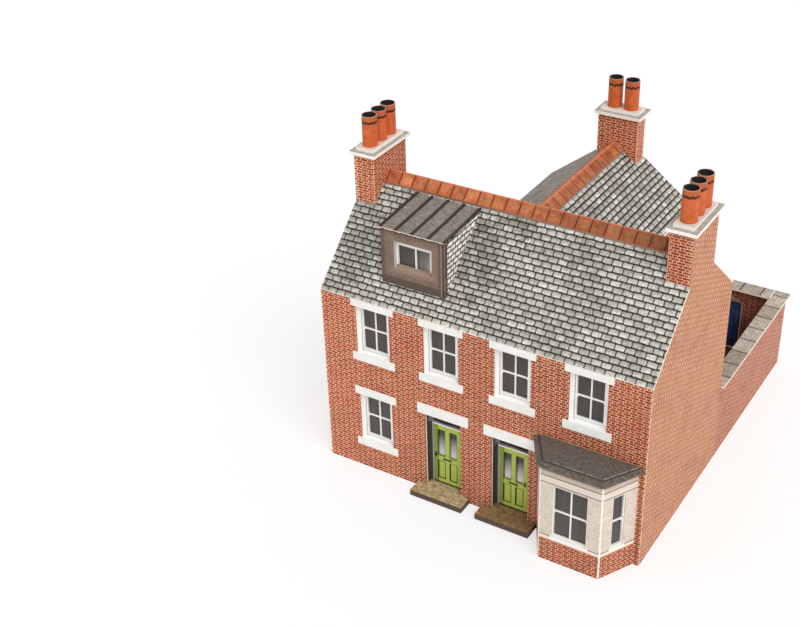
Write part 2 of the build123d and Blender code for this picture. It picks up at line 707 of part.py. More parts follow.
# Rear wing: side walls with a back door and windows, and a rear gable with four windows
wing_under_ridge_z = wing_ridge_height - roof_card_drop
wing_under_outer_z = wing_eaves_height - roof_card_drop
wing_inner_half = wing_half - wall_card
wing_under_inner_z = wing_under_ridge_z - wing_fall * wing_inner_half
wing_gable_y = wing_rear_y - wall_card
wing_side_length = wing_gable_y - rear_y
wing_mid_y = (rear_y + wing_gable_y) / 2
back_door_from_house = 10.5
wing_window_from_gable = 11.1
back_door_y = rear_y + back_door_from_house
wing_window_y = wing_gable_y - wing_window_from_gable
back_door_head_z = 30.0
back_door_half = 5.5
wing_gable_window_x = wing_half / 2
wing_upper_drop = 18.4
wing_upper_z = wing_eaves_height - wing_upper_drop
side_hole_height = upper_head_z - upper_sill_z
wing_side_holes = [
    (wing_mid_y, wing_upper_z),
    (wing_window_y, ground_mid_z),
]
wing_gable_holes = [
    (-wing_gable_window_x, wing_upper_z),
    (wing_gable_window_x, wing_upper_z),
    (-wing_gable_window_x, ground_mid_z),
    (wing_gable_window_x, ground_mid_z),
]

with BuildPart() as wing_side_walls:
    with BuildSketch(Plane.XZ.offset(-rear_y)):
        Polygon(
            (wing_inner_half, 0),
            (wing_half, 0),
            (wing_half, wing_under_outer_z),
            (wing_inner_half, wing_under_inner_z),
            align=None,
        )
        mirror(about=Plane.YZ)
    extrude(amount=-wing_side_length)
    with BuildSketch(Plane.YZ.offset(-wing_half - cut_margin)):
        with Locations(*wing_side_holes):
            Rectangle(2 * window_half, side_hole_height)
        with Locations((back_door_y, back_door_head_z / 2)):
            Rectangle(2 * back_door_half, back_door_head_z)
    extrude(amount=wing_width + 2 * cut_margin, mode=Mode.SUBTRACT)
wing_side_walls.part.label = "wing_side_walls"
export_step(wing_side_walls.part, "parts/wing_side_walls.step")

wing_stack_height = wing_stack_top_z - wing_eaves_height
wing_stack_mid_z = wing_stack_top_z - wing_stack_height / 2

with BuildPart() as wing_rear_gable:
    with BuildSketch(Plane.XZ.offset(-wing_gable_y)):
        Polygon(
            (-wing_half, 0),
            (wing_half, 0),
            (wing_half, wing_under_outer_z),
            (0, wing_under_ridge_z),
            (-wing_half, wing_under_outer_z),
            align=None,
        )
        with Locations((wing_stack_shift, wing_stack_mid_z)):
            Rectangle(2 * wing_stack_half, wing_stack_height)
        with Locations(*wing_gable_holes):
            Rectangle(2 * window_half, side_hole_height, mode=Mode.SUBTRACT)
    extrude(amount=-wall_card)
wing_rear_gable.part.label = "wing_rear_gable"
export_step(wing_rear_gable.part, "parts/wing_rear_gable.step")

# Wing roof, two slate sheets cut to lie on the main roof's rear slope
wing_eaves_half = wing_half + wing_eaves_overhang
wing_eaves_z = wing_ridge_height - wing_fall * wing_eaves_half
wing_sheet_profile = [
    (0, wing_ridge_height),
    (wing_eaves_half, wing_eaves_z),
    (wing_eaves_half, wing_eaves_z - roof_card_drop),
    (0, wing_under_ridge_z),
]
wing_sheet_length = wing_rear_y - ridge_y
valley_profile = [
    (ridge_y - cut_margin, ridge_height + rear_fall * cut_margin),
    (rear_y, rear_eaves_height),
    (rear_y, 0),
    (ridge_y - cut_margin, 0),
]

with BuildPart() as wing_roof_right:
    with BuildSketch(Plane.XZ.offset(-ridge_y)):
        Polygon(*wing_sheet_profile, align=None)
    extrude(amount=-wing_sheet_length)
    with BuildSketch(Plane.YZ.offset(-cut_margin)):
        Polygon(*valley_profile, align=None)
    extrude(amount=wing_width, mode=Mode.SUBTRACT)
    with Locations((wing_stack_shift, wing_rear_y, wing_stack_mid_z)):
        Box(2 * wing_stack_half, 2 * wall_card, wing_stack_height, mode=Mode.SUBTRACT)
wing_roof_right.part.label = "wing_roof_right"
export_step(wing_roof_right.part, "parts/wing_roof_right.step")

with BuildPart() as wing_roof_left:
    with BuildSketch(Plane.XZ.offset(-ridge_y)):
        Polygon(*[(-x, z) for x, z in wing_sheet_profile], align=None)
    extrude(amount=-wing_sheet_length)
    with BuildSketch(Plane.YZ.offset(cut_margin - wing_width)):
        Polygon(*valley_profile, align=None)
    extrude(amount=wing_width, mode=Mode.SUBTRACT)
    with Locations((wing_stack_shift, wing_rear_y, wing_stack_mid_z)):
        Box(2 * wing_stack_half, 2 * wall_card, wing_stack_height, mode=Mode.SUBTRACT)
wing_roof_left.part.label = "wing_roof_left"
export_step(wing_roof_left.part, "parts/wing_roof_left.step")

wing_stack_front_y = wing_rear_y - wing_stack_depth
wing_strip_reach = 3.7
wing_strip_length = wing_stack_front_y - ridge_y
strip_under_z = wing_ridge_height - wing_fall * wing_strip_reach

with BuildPart() as wing_ridge_tiles:
    with BuildSketch(Plane.XZ.offset(-ridge_y)):
        Polygon(
            (0, wing_ridge_height + ridge_strip_drop),
            (wing_strip_reach, strip_under_z + ridge_strip_drop),
            (wing_strip_reach, strip_under_z),
            (0, wing_ridge_height),
            (-wing_strip_reach, strip_under_z),
            (-wing_strip_reach, strip_under_z + ridge_strip_drop),
            align=None,
        )
    extrude(amount=-wing_strip_length)
    with BuildSketch(Plane.YZ.offset(-wing_half)):
        Polygon(*valley_profile, align=None)
    extrude(amount=wing_width, mode=Mode.SUBTRACT)
wing_ridge_tiles.part.label = "wing_ridge_tiles"
export_step(wing_ridge_tiles.part, "parts/wing_ridge_tiles.step")

# Wing chimney, closed at the back by the rear gable
wing_stack_mid_y = wing_rear_y - wing_stack_depth / 2
wing_stack_wall_mid_y = wing_rear_y - (wing_stack_depth + wall_card) / 2
wing_flue_mid_y = wing_rear_y - wing_stack_depth / 2 + wall_card / 2
wing_cap_top_z = wing_stack_top_z + cap_lower_thickness + cap_upper_thickness
wing_pot_xs = [wing_stack_shift - wing_pot_pitch / 2, wing_stack_shift + wing_pot_pitch / 2]

with BuildPart() as wing_chimney_stack:
    with BuildSketch(Plane.XY.offset(wing_stack_top_z)):
        with Locations((wing_stack_shift, wing_stack_wall_mid_y)):
            Rectangle(2 * wing_stack_half, wing_stack_depth - wall_card)
        with Locations((wing_stack_shift, wing_flue_mid_y)):
            Rectangle(2 * (wing_stack_half - wall_card), wing_stack_depth - wall_card, mode=Mode.SUBTRACT)
    extrude(amount=-wing_stack_height)
    with BuildSketch(Plane.XZ.offset(-ridge_y)):
        Polygon(
            (-wing_half, 0),
            (wing_half, 0),
            (wing_half, wing_eaves_height),
            (0, wing_ridge_height),
            (-wing_half, wing_eaves_height),
            align=None,
        )
    extrude(amount=-wing_sheet_length - cut_margin, mode=Mode.SUBTRACT)
wing_chimney_stack.part.label = "wing_chimney_stack"
export_step(wing_chimney_stack.part, "parts/wing_chimney_stack.step")

with BuildPart() as wing_chimney_cap:
    with BuildSketch(Plane.XY.offset(wing_stack_top_z)):
        with Locations((wing_stack_shift, wing_stack_mid_y)):
            Rectangle(2 * (wing_stack_half + cap_overhang), wing_stack_depth + 2 * cap_overhang)
    extrude(amount=cap_lower_thickness)
    with BuildSketch(Plane.XY.offset(wing_stack_top_z + cap_lower_thickness)):
        with Locations((wing_stack_shift, wing_stack_mid_y)):
            Rectangle(2 * (wing_stack_half - cap_upper_inset), wing_stack_depth - 2 * cap_upper_inset)
    extrude(amount=cap_upper_thickness)
wing_chimney_cap.part.label = "wing_chimney_cap"
export_step(wing_chimney_cap.part, "parts/wing_chimney_cap.step")

with BuildPart() as wing_chimney_pots:
    with BuildSketch(Plane.XY.offset(wing_cap_top_z)):
        with Locations(*[(x, wing_stack_mid_y) for x in wing_pot_xs]):
            Circle(pot_radius)
            Circle(pot_bore_radius, mode=Mode.SUBTRACT)
    extrude(amount=pot_height)
wing_chimney_pots.part.label = "wing_chimney_pots"
export_step(wing_chimney_pots.part, "parts/wing_chimney_pots.step")

# Yards: side walls in line with the gables, rear wall with two gateways, and a dividing wall
yard_depth = yard_rear_y - rear_y
yard_mid_y = (rear_y + yard_rear_y) / 2
yard_wall_x = half_width - yard_wall_card / 2
yard_inner_y = yard_rear_y - yard_wall_card
gate_x = 0.3057 * house_width
gate_half = 6.9
gate_sill_z = 2.8
gate_head_z = 24.4
gate_mid_z = (gate_sill_z + gate_head_z) / 2
gate_height = gate_head_z - gate_sill_z

with BuildPart() as yard_side_walls:
    with Locations(*[(s * yard_wall_x, yard_mid_y, yard_wall_height / 2) for s in (-1, 1)]):
        Box(yard_wall_card, yard_depth, yard_wall_height)
yard_side_walls.part.label = "yard_side_walls"
export_step(yard_side_walls.part, "parts/yard_side_walls.step")

with BuildPart() as yard_rear_wall:
    with Locations((0, yard_rear_y - yard_wall_card / 2, yard_wall_height / 2)):
        Box(house_width - 2 * yard_wall_card, yard_wall_card, yard_wall_height)
    with Locations(*[(s * gate_x, yard_inner_y, gate_mid_z) for s in (-1, 1)]):
        Box(2 * gate_half, 2 * cut_margin, gate_height, mode=Mode.SUBTRACT)
yard_rear_wall.part.label = "yard_rear_wall"
export_step(yard_rear_wall.part, "parts/yard_rear_wall.step")

dividing_length = yard_inner_y - wing_rear_y

with BuildPart() as yard_dividing_wall:
    with Locations((0, (wing_rear_y + yard_inner_y) / 2, yard_wall_height / 2)):
        Box(dividing_wall_width, dividing_length, yard_wall_height)
yard_dividing_wall.part.label = "yard_dividing_wall"
export_step(yard_dividing_wall.part, "parts/yard_dividing_wall.step")

yard_floor_card = 1.0
yard_half = half_width - yard_wall_card

with BuildPart() as yard_floor:
    with Locations((0, (rear_y + yard_inner_y) / 2, yard_floor_card / 2)):
        Box(2 * yard_half, yard_inner_y - rear_y, yard_floor_card)
    with Locations((0, (rear_y + wing_rear_y) / 2, 0)):
        Box(wing_width, wing_rear_y - rear_y, cut_margin, mode=Mode.SUBTRACT)
    with Locations((0, (wing_rear_y + yard_inner_y) / 2, 0)):
        Box(dividing_wall_width, dividing_length, cut_margin, mode=Mode.SUBTRACT)
yard_floor.part.label = "yard_floor"
export_step(yard_floor.part, "parts/yard_floor.step")

coping_x = half_width + coping_overhang - coping_side_width / 2
coping_length = yard_depth + coping_overhang
coping_z = yard_wall_height + coping_thickness / 2

with BuildPart() as yard_side_copings:
    with Locations(*[(s * coping_x, rear_y + coping_length / 2, coping_z) for s in (-1, 1)]):
        Box(coping_side_width, coping_length, coping_thickness)
yard_side_copings.part.label = "yard_side_copings"
export_step(yard_side_copings.part, "parts/yard_side_copings.step")

coping_rear_y = yard_rear_y + coping_overhang - coping_rear_width / 2
coping_inner_half = half_width + coping_overhang - coping_side_width

with BuildPart() as yard_rear_coping:
    with Locations((0, coping_rear_y, coping_z)):
        Box(2 * coping_inner_half, coping_rear_width, coping_thickness)
yard_rear_coping.part.label = "yard_rear_coping"
export_step(yard_rear_coping.part, "parts/yard_rear_coping.step")

dividing_coping_end_y = coping_rear_y - coping_rear_width / 2
dividing_coping_length = dividing_coping_end_y - wing_rear_y

with BuildPart() as yard_dividing_coping:
    with Locations((0, (wing_rear_y + dividing_coping_end_y) / 2, coping_z)):
        Box(coping_side_width, dividing_coping_length, coping_thickness)
yard_dividing_coping.part.label = "yard_dividing_coping"
export_step(yard_dividing_coping.part, "parts/yard_dividing_coping.step")

gate_recess = 0.8
gate_card = 1.2
gate_y = yard_inner_y + gate_recess + gate_card / 2

with BuildPart() as yard_gates:
    with Locations(*[(s * gate_x, gate_y, gate_mid_z) for s in (-1, 1)]):
        Box(2 * gate_half, gate_card, gate_height)
yard_gates.part.label = "yard_gates"
export_step(yard_gates.part, "parts/yard_gates.step")

gate_lintel_lap = 0.6
gate_lintel_half = gate_half + gate_lintel_lap
gate_lintel_rise = 2.25

with BuildPart() as gate_lintels:
    with BuildSketch(Plane.XZ.offset(-yard_inner_y)):
        with Locations((-gate_x, gate_head_z), (gate_x, gate_head_z)):
            Polygon(
                (-gate_lintel_half, 0),
                (gate_lintel_half, 0),
                (gate_lintel_half * 0.7, gate_lintel_rise * 0.58),
                (gate_lintel_half * 0.35, gate_lintel_rise * 0.89),
                (0, gate_lintel_rise),
                (-gate_lintel_half * 0.35, gate_lintel_rise * 0.89),
                (-gate_lintel_half * 0.7, gate_lintel_rise * 0.58),
                align=None,
            )
    extrude(amount=trim_card)
gate_lintels.part.label = "gate_lintels"
export_step(gate_lintels.part, "parts/gate_lintels.step")

# Rear windows, trims and back doors, repeated from the front
rear_ring_y = rear_y - wall_card - frame_card / 2
rear_film_y = rear_y - wall_card - frame_card - glass_film / 2
gable_ring_y = wing_gable_y - frame_card / 2
gable_film_y = wing_gable_y - frame_card - glass_film / 2
side_ring_x = wing_inner_half - frame_card / 2
side_film_x = wing_inner_half - frame_card - glass_film / 2
ring_height = side_hole_height + 2 * window_frame_lap
pane_height = side_hole_height - window_frame_bottom - window_frame_top
rear_ring_centres = [(x, rear_ring_y, z) for x, z in rear_wall_windows]
rear_film_centres = [(x, rear_film_y, z) for x, z in rear_wall_windows]
gable_ring_centres = [(x, gable_ring_y, z) for x, z in wing_gable_holes]
gable_film_centres = [(x, gable_film_y, z) for x, z in wing_gable_holes]
side_ring_centres = [(s * side_ring_x, y, z) for s in (-1, 1) for y, z in wing_side_holes]
side_film_centres = [(s * side_film_x, y, z) for s in (-1, 1) for y, z in wing_side_holes]

with BuildPart() as rear_window_frames:
    with Locations(*rear_ring_centres, *gable_ring_centres):
        Box(2 * ring_half, frame_card, ring_height)
    with Locations(*side_ring_centres):
        Box(frame_card, 2 * ring_half, ring_height)
    with Locations(*[(x, y, z + glass_shift_z) for x, y, z in rear_ring_centres + gable_ring_centres]):
        Box(2 * glass_half, cut_margin, pane_height, mode=Mode.SUBTRACT)
    with Locations(*[(x, y, z + glass_shift_z) for x, y, z in side_ring_centres]):
        Box(cut_margin, 2 * glass_half, pane_height, mode=Mode.SUBTRACT)
rear_window_frames.part.label = "rear_window_frames"
export_step(rear_window_frames.part, "parts/rear_window_frames.step")

with BuildPart() as rear_glazing:
    with Locations(*rear_film_centres, *gable_film_centres):
        Box(2 * ring_half, glass_film, ring_height)
    with Locations(*side_film_centres):
        Box(glass_film, 2 * ring_half, ring_height)
rear_glazing.part.label = "rear_glazing"
export_step(rear_glazing.part, "parts/rear_glazing.step")

lintel_shift_z = (side_hole_height + ground_lintel_height) / 2
sill_shift_z = (side_hole_height + sill_height) / 2
rear_trim_y = rear_y + trim_card / 2
gable_trim_y = wing_rear_y + trim_card / 2
side_trim_x = wing_half + trim_card / 2
door_trim_z = back_door_head_z + ground_lintel_height / 2
face_centres = [(x, rear_trim_y, z) for x, z in rear_wall_windows]
face_centres += [(x, gable_trim_y, z) for x, z in wing_gable_holes]
side_centres = [(s * side_trim_x, y, z) for s in (-1, 1) for y, z in wing_side_holes]

with BuildPart() as rear_lintels_and_sills:
    with Locations(*[(x, y, z + lintel_shift_z) for x, y, z in face_centres]):
        Box(2 * lintel_half, trim_card, ground_lintel_height)
    with Locations(*[(x, y, z - sill_shift_z) for x, y, z in face_centres]):
        Box(2 * sill_half, trim_card, sill_height)
    with Locations(*[(x, y, z + lintel_shift_z) for x, y, z in side_centres]):
        Box(trim_card, 2 * lintel_half, ground_lintel_height)
    with Locations(*[(x, y, z - sill_shift_z) for x, y, z in side_centres]):
        Box(trim_card, 2 * sill_half, sill_height)
    with Locations(*[(s * side_trim_x, back_door_y, door_trim_z) for s in (-1, 1)]):
        Box(trim_card, 2 * (back_door_half + lintel_overhang), ground_lintel_height)
rear_lintels_and_sills.part.label = "rear_lintels_and_sills"
export_step(rear_lintels_and_sills.part, "parts/rear_lintels_and_sills.step")

back_leaf_x = wing_inner_half - frame_card / 2
back_leaf_lap = 1.0
back_leaf_height = back_door_head_z + back_leaf_lap

with BuildPart() as back_doors:
    with Locations(*[(s * back_leaf_x, back_door_y, back_leaf_height / 2) for s in (-1, 1)]):
        Box(frame_card, 2 * (back_door_half + back_leaf_lap), back_leaf_height)
back_doors.part.label = "back_doors"
export_step(back_doors.part, "parts/back_doors.step")
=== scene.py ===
"""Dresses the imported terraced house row, a printed card model, with its finishes and small pieces.

Lengths in this file are millimetres of the model in the row frame: x to the right along the
street front, y from the street to the back of the yards, z up. Meshes are made in metres.
"""

import logging
import math
from collections.abc import Mapping, Sequence
from dataclasses import dataclass
from enum import Enum
from functools import partial
from typing import Any

import bmesh
import bpy
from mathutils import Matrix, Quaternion, Vector


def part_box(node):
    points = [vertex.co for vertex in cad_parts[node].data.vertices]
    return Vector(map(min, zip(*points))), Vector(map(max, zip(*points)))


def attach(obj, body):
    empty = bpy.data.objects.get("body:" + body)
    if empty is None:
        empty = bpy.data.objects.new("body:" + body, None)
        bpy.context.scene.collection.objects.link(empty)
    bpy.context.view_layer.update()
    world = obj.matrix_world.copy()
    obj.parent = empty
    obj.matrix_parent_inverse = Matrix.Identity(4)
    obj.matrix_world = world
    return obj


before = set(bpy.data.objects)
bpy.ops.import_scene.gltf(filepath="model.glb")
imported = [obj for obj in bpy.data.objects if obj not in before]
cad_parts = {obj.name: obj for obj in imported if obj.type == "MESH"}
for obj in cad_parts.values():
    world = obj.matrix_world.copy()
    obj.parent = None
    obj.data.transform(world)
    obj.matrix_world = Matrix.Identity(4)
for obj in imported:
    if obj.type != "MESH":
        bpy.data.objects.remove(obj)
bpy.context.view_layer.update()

log = logging.getLogger("terraced_row")

MM = 0.001
WHITE = "#FFFFFF"
STREET = Vector((0.0, -1.0, 0.0))
YARD = Vector((0.0, 1.0, 0.0))
RIGHT = Vector((1.0, 0.0, 0.0))
LEFT = Vector((-1.0, 0.0, 0.0))
Colour = tuple[float, float, float, float]
Point = tuple[float, float]
Stops = tuple[tuple[float, str], ...]
Links = Sequence[Any] | Mapping[Any, Any]
Marks = list[tuple[Any, Any]]


def linear(hex_colour: str) -> Colour:
    """Turns an sRGB hex value into the linear colour that the shaders take.

    Args:
        hex_colour: Six hex digits after a hash sign.

    Returns:
        Linear red, green and blue, and an alpha of 1.
    """
    shares = [int(hex_colour[i : i + 2], 16) / 255 for i in (1, 3, 5)]
    red, green, blue = (s / 12.92 if s <= 0.04045 else ((s + 0.055) / 1.055) ** 2.4 for s in shares)
    return (red, green, blue, 1.0)


def add_node(
    tree: bpy.types.NodeTree, kind: str, links: Links = (), stops: Stops = (), **settings: Any
) -> bpy.types.Node:
    """Adds one node with its settings and links.

    Args:
        tree: The node tree that it joins.
        kind: The node's type, without the word ShaderNode.
        links: What each input takes, by place or name: a node's first output, a socket, a hex
            colour or a value.
        stops: Places and hex colours, for a colour ramp.
        **settings: Properties to set on the node.

    Returns:
        The new node.
    """
    node = tree.nodes.new(f"ShaderNode{kind}")
    for name, value in settings.items():
        setattr(node, name, value)
    for index, (place, shade) in enumerate(stops):
        elements = node.color_ramp.elements
        element = elements[index] if index < 2 else elements.new(place)
        element.position, element.color = place, linear(shade)
    for key, value in links.items() if isinstance(links, Mapping) else enumerate(links):
        source = value.outputs[0] if isinstance(value, bpy.types.Node) else value
        if isinstance(source, bpy.types.NodeSocket):
            tree.links.new(source, node.inputs[key])
        else:
            node.inputs[key].default_value = linear(source) if isinstance(source, str) else source
    return node


def emptied(holder: bpy.types.Material | bpy.types.World) -> bpy.types.NodeTree:
    """Empties a material's or a world's node tree.

    Args:
        holder: The material or the world.

    Returns:
        Its node tree.
    """
    holder.use_nodes = True
    holder.node_tree.nodes.clear()
    return holder.node_tree


def cad(node: str) -> tuple[Vector, Vector]:
    """Gives a CAD node's lowest and highest corners in millimetres."""
    low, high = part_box(node)
    return Vector(low) / MM, Vector(high) / MM


class Printed(Enum):
    """Which faces of a piece carry the print; the others are bare cut card."""

    ALL = "every face"
    FRONT = "faces to the street and the yard"
    SIDE = "faces to the left and right"
    UPRIGHT = "standing faces"
    ABOVE = "level and sloping faces seen from above"


class CardFace:
    """Where a point of a face lies, read along the face as the print was drawn."""

    def __init__(self, tree: bpy.types.NodeTree) -> None:
        """Adds the nodes that find the point.

        Args:
            tree: The material's node tree.
        """
        self.add = add = partial(add_node, tree)
        place = add("TexCoord").outputs["Object"]
        self.place = add("VectorMath", {0: place, "Scale": 1 / MM}, operation="SCALE")
        self.x, self.y, self.z = add("SeparateXYZ", [self.place]).outputs
        self.reach = add("Math", [self.x], operation="ABSOLUTE")
        facing = add("NewGeometry").outputs["True Normal"]
        self.facing_x, self.facing_y, self.facing_z = add("SeparateXYZ", [facing]).outputs
        across = add("VectorMath", [(0, 0, 1), facing], operation="CROSS_PRODUCT")
        along = add("VectorMath", [across], operation="NORMALIZE")
        lean = add("VectorMath", [across], operation="LENGTH").outputs["Value"]
        run = add("VectorMath", [along, self.place], operation="DOT_PRODUCT").outputs["Value"]
        rise = add("Math", [self.z, lean], operation="DIVIDE")
        level = add("Math", [lean, 0.2], operation="LESS_THAN")
        self.run = add("Mix", {0: level, 2: run, 3: self.x})
        self.rise = add("Mix", {0: level, 2: rise, 3: self.y})

    def carries(self, printed: Printed) -> Any:
        """Finds where the print is.

        Args:
            printed: The faces that carry it, other than all of them.

        Returns:
            A value that is 1 on the printed faces and 0 on the others.
        """
        tests = {
            Printed.FRONT: (self.facing_y, 0.4, "GREATER_THAN"),
            Printed.SIDE: (self.facing_x, 0.5, "GREATER_THAN"),
            Printed.UPRIGHT: (self.facing_z, 0.3, "LESS_THAN"),
            Printed.ABOVE: (self.facing_z, 0.3, "GREATER_THAN"),
        }
        facing, level, operation = tests[printed]
        value = facing if printed is Printed.ABOVE else self.away(facing, 0.0)
        return self.add("Math", [value, level], operation=operation)

    def beyond(self, value: Any, level: float, soft: float = 0.0) -> Any:
        """Gives 1 where a value is above a level and 0 below it.

        Args:
            value: The socket to test.
            level: The level.
            soft: Half the width of the change between the two.

        Returns:
            The test's socket.
        """
        if soft == 0:
            return self.add("Math", [value, level], operation="GREATER_THAN")
        return self.add("MapRange", [value, level - soft, level + soft, 0.0, 1.0])

    def away(self, value: Any, level: float) -> Any:
        """Gives how far a value is from a level."""
        off = self.add("Math", [value, -level], operation="ADD")
        return self.add("Math", [off], operation="ABSOLUTE")

    def stripe(self, value: Any, level: float, core: float, edge: float, cover: float) -> Any:
        """Gives the cover of a stripe along a level, full out to its core and gone at its edge."""
        return self.add("MapRange", [self.away(value, level), core, edge, cover, 0.0])

    def clouds(
        self, size: float, low: float, high: float, detail: float = 3.0, sharp: Point = (0.38, 0.62)
    ) -> Any:
        """Gives a value that drifts from low to high, reached at the sharp noise values."""
        looks = {"Vector": self.place, "Scale": 1 / size, "Detail": detail, "Roughness": 0.65}
        return self.add("MapRange", [self.add("TexNoise", looks), *sharp, low, high])

    def from_line(self, x: float, y: float, ragged: float, size: float) -> Any:
        """Gives how far a point is from an upright line, with a ragged reach.

        Args:
            x: The line's place to the right.
            y: The line's place to the back.
            ragged: How much the reach drifts, either way.
            size: The drift's size in millimetres.

        Returns:
            The distance's socket.
        """
        flat = self.add("CombineXYZ", [self.x, self.y, 0.0])
        near = self.add("VectorMath", [flat, (x, y, 0.0)], operation="DISTANCE").outputs["Value"]
        return self.add("Math", [near, self.clouds(size, -ragged, ragged)], operation="ADD")

    def times(self, colour: Any, shade: Any) -> Any:
        """Multiplies a colour by a value or another colour."""
        return self.add("MixRGB", {0: 1.0, 1: colour, 2: shade}, blend_type="MULTIPLY")

    def over(self, cover: Any, under: Any, shade: Any) -> Any:
        """Lays a shade over the colour under it, as far as the cover says."""
        return self.add("MixRGB", [cover, under, shade])

    def stain(self, cover: Any, colour: Any, patch: str) -> Any:
        """Darkens a colour by a patch's colour, as far as the cover says."""
        return self.times(colour, self.over(cover, WHITE, patch))


@dataclass(frozen=True)
class Laid:
    """What a coursing gives at a point of the face.

    Its fields are the height inside the unit, two chance values, how far the point is from the
    unit's edge and from its sides, the joint's cover, and the relief, 1 on the units and 0 between.
    """

    up: Any
    chance: Any
    other_chance: Any
    inset: Any
    from_side: Any
    joint: Any
    relief: Any


@dataclass(frozen=True)
class Coursing:
    """Units laid in courses that break joint, such as bricks, slates or flags."""

    length: float
    height: float
    joint: float
    header: float = 0.0
    softness: float = 0.08
    corner: float = 0.25
    shift: float = 0.5
    straggle: float = 0.0
    wobble: float = 0.0
    wobble_size: float = 4.0
    from_run: float = 0.0
    from_rise: float = 0.0
    wider_bed: float = 0.0

    def lay(self, face: CardFace) -> Laid:
        """Lays the units over a face.

        Args:
            face: The face's coordinates.

        Returns:
            The place inside each unit, its chance values and the joints between them.
        """
        add = face.add
        period = self.length + self.header
        drift = add("TexNoise", {"Vector": face.place, "Scale": 1 / self.wobble_size, "Detail": 1.0})
        sway = add("SeparateColor", [drift.outputs["Color"]]).outputs
        moved = []
        starts = (self.from_run, self.from_rise)
        for way, start, swaying in zip((face.run, face.rise), starts, sway):
            off = add("Math", [swaying, -0.5], operation="ADD")
            off = add("Math", [off, self.wobble, -start], operation="MULTIPLY_ADD")
            moved.append(add("Math", [way, off], operation="ADD"))
        courses = add("Math", [moved[1], self.height], operation="DIVIDE")
        course = add("Math", [courses], operation="FLOOR")
        up = add("Math", [courses], operation="FRACT")
        odd = add("Math", [course, 2.0], operation="FLOORED_MODULO")
        stray = add("TexWhiteNoise", {"W": course}, noise_dimensions="1D")
        shift = add("Math", [stray, self.straggle, 0.0], operation="MULTIPLY_ADD")
        shift = add("Math", [odd, self.shift, shift], operation="MULTIPLY_ADD")
        units = add("Math", [moved[0], 1 / period, shift], operation="MULTIPLY_ADD")
        place = add("Math", [add("Math", [units], operation="FRACT"), period], operation="MULTIPLY")
        short = face.beyond(place, self.length)
        middle = add("Math", [short, period / 2, self.length / 2], operation="MULTIPLY_ADD")
        less = (self.header - self.length) / 2
        half = add("Math", [short, less, self.length / 2], operation="MULTIPLY_ADD")
        from_middle = add("Math", [place, middle], operation="SUBTRACT")
        from_middle = add("Math", [from_middle], operation="ABSOLUTE")
        from_side = add("Math", [half, from_middle], operation="SUBTRACT")
        from_bed = add("Math", [up, 0.5], operation="PINGPONG")
        from_bed = add("Math", [from_bed, self.height, -self.wider_bed / 2], operation="MULTIPLY_ADD")
        inset = add("Math", [from_side, from_bed], operation="MINIMUM")
        # The corners are rounded by the distance outside the unit's inner rectangle
        outside = add("CombineXYZ", [from_side, from_bed, 0.0])
        outside = add("VectorMath", [(self.corner, self.corner, 0.0), outside], operation="SUBTRACT")
        outside = add("VectorMath", [outside, (0.0, 0.0, 0.0)], operation="MAXIMUM")
        outward = add("VectorMath", [outside], operation="LENGTH").outputs["Value"]
        edge = self.corner - self.joint / 2
        ends = [edge - self.softness, edge + self.softness, 0.0, 1.0]
        joint = add("MapRange", [outward, *ends], interpolation_type="SMOOTHSTEP")
        unit = add("Math", [add("Math", [units], operation="FLOOR"), 2.0, short], operation="MULTIPLY_ADD")
        spot = add("CombineXYZ", [unit, course, 3.0])
        chance = add("TexWhiteNoise", {"Vector": spot}, noise_dimensions="3D")
        other = add("SeparateColor", [chance.outputs["Color"]]).outputs[1]
        relief = add("Math", [1.0, joint], operation="SUBTRACT")
        return Laid(up, chance, other, inset, from_side, joint, relief)


# Bricks with a header after each stretcher, and slates with worn corners that wander
flemish_bond = partial(Coursing, length=2.88, height=0.97, header=1.44)
worn_slates = partial(Coursing, softness=0.12, corner=0.45, wobble=0.4, wobble_size=3.0)


@dataclass(frozen=True)
class Ink:
    """What a print puts on the card: a colour, and a height from 0 to 1 for its relief."""

    colour: Any
    height: Any


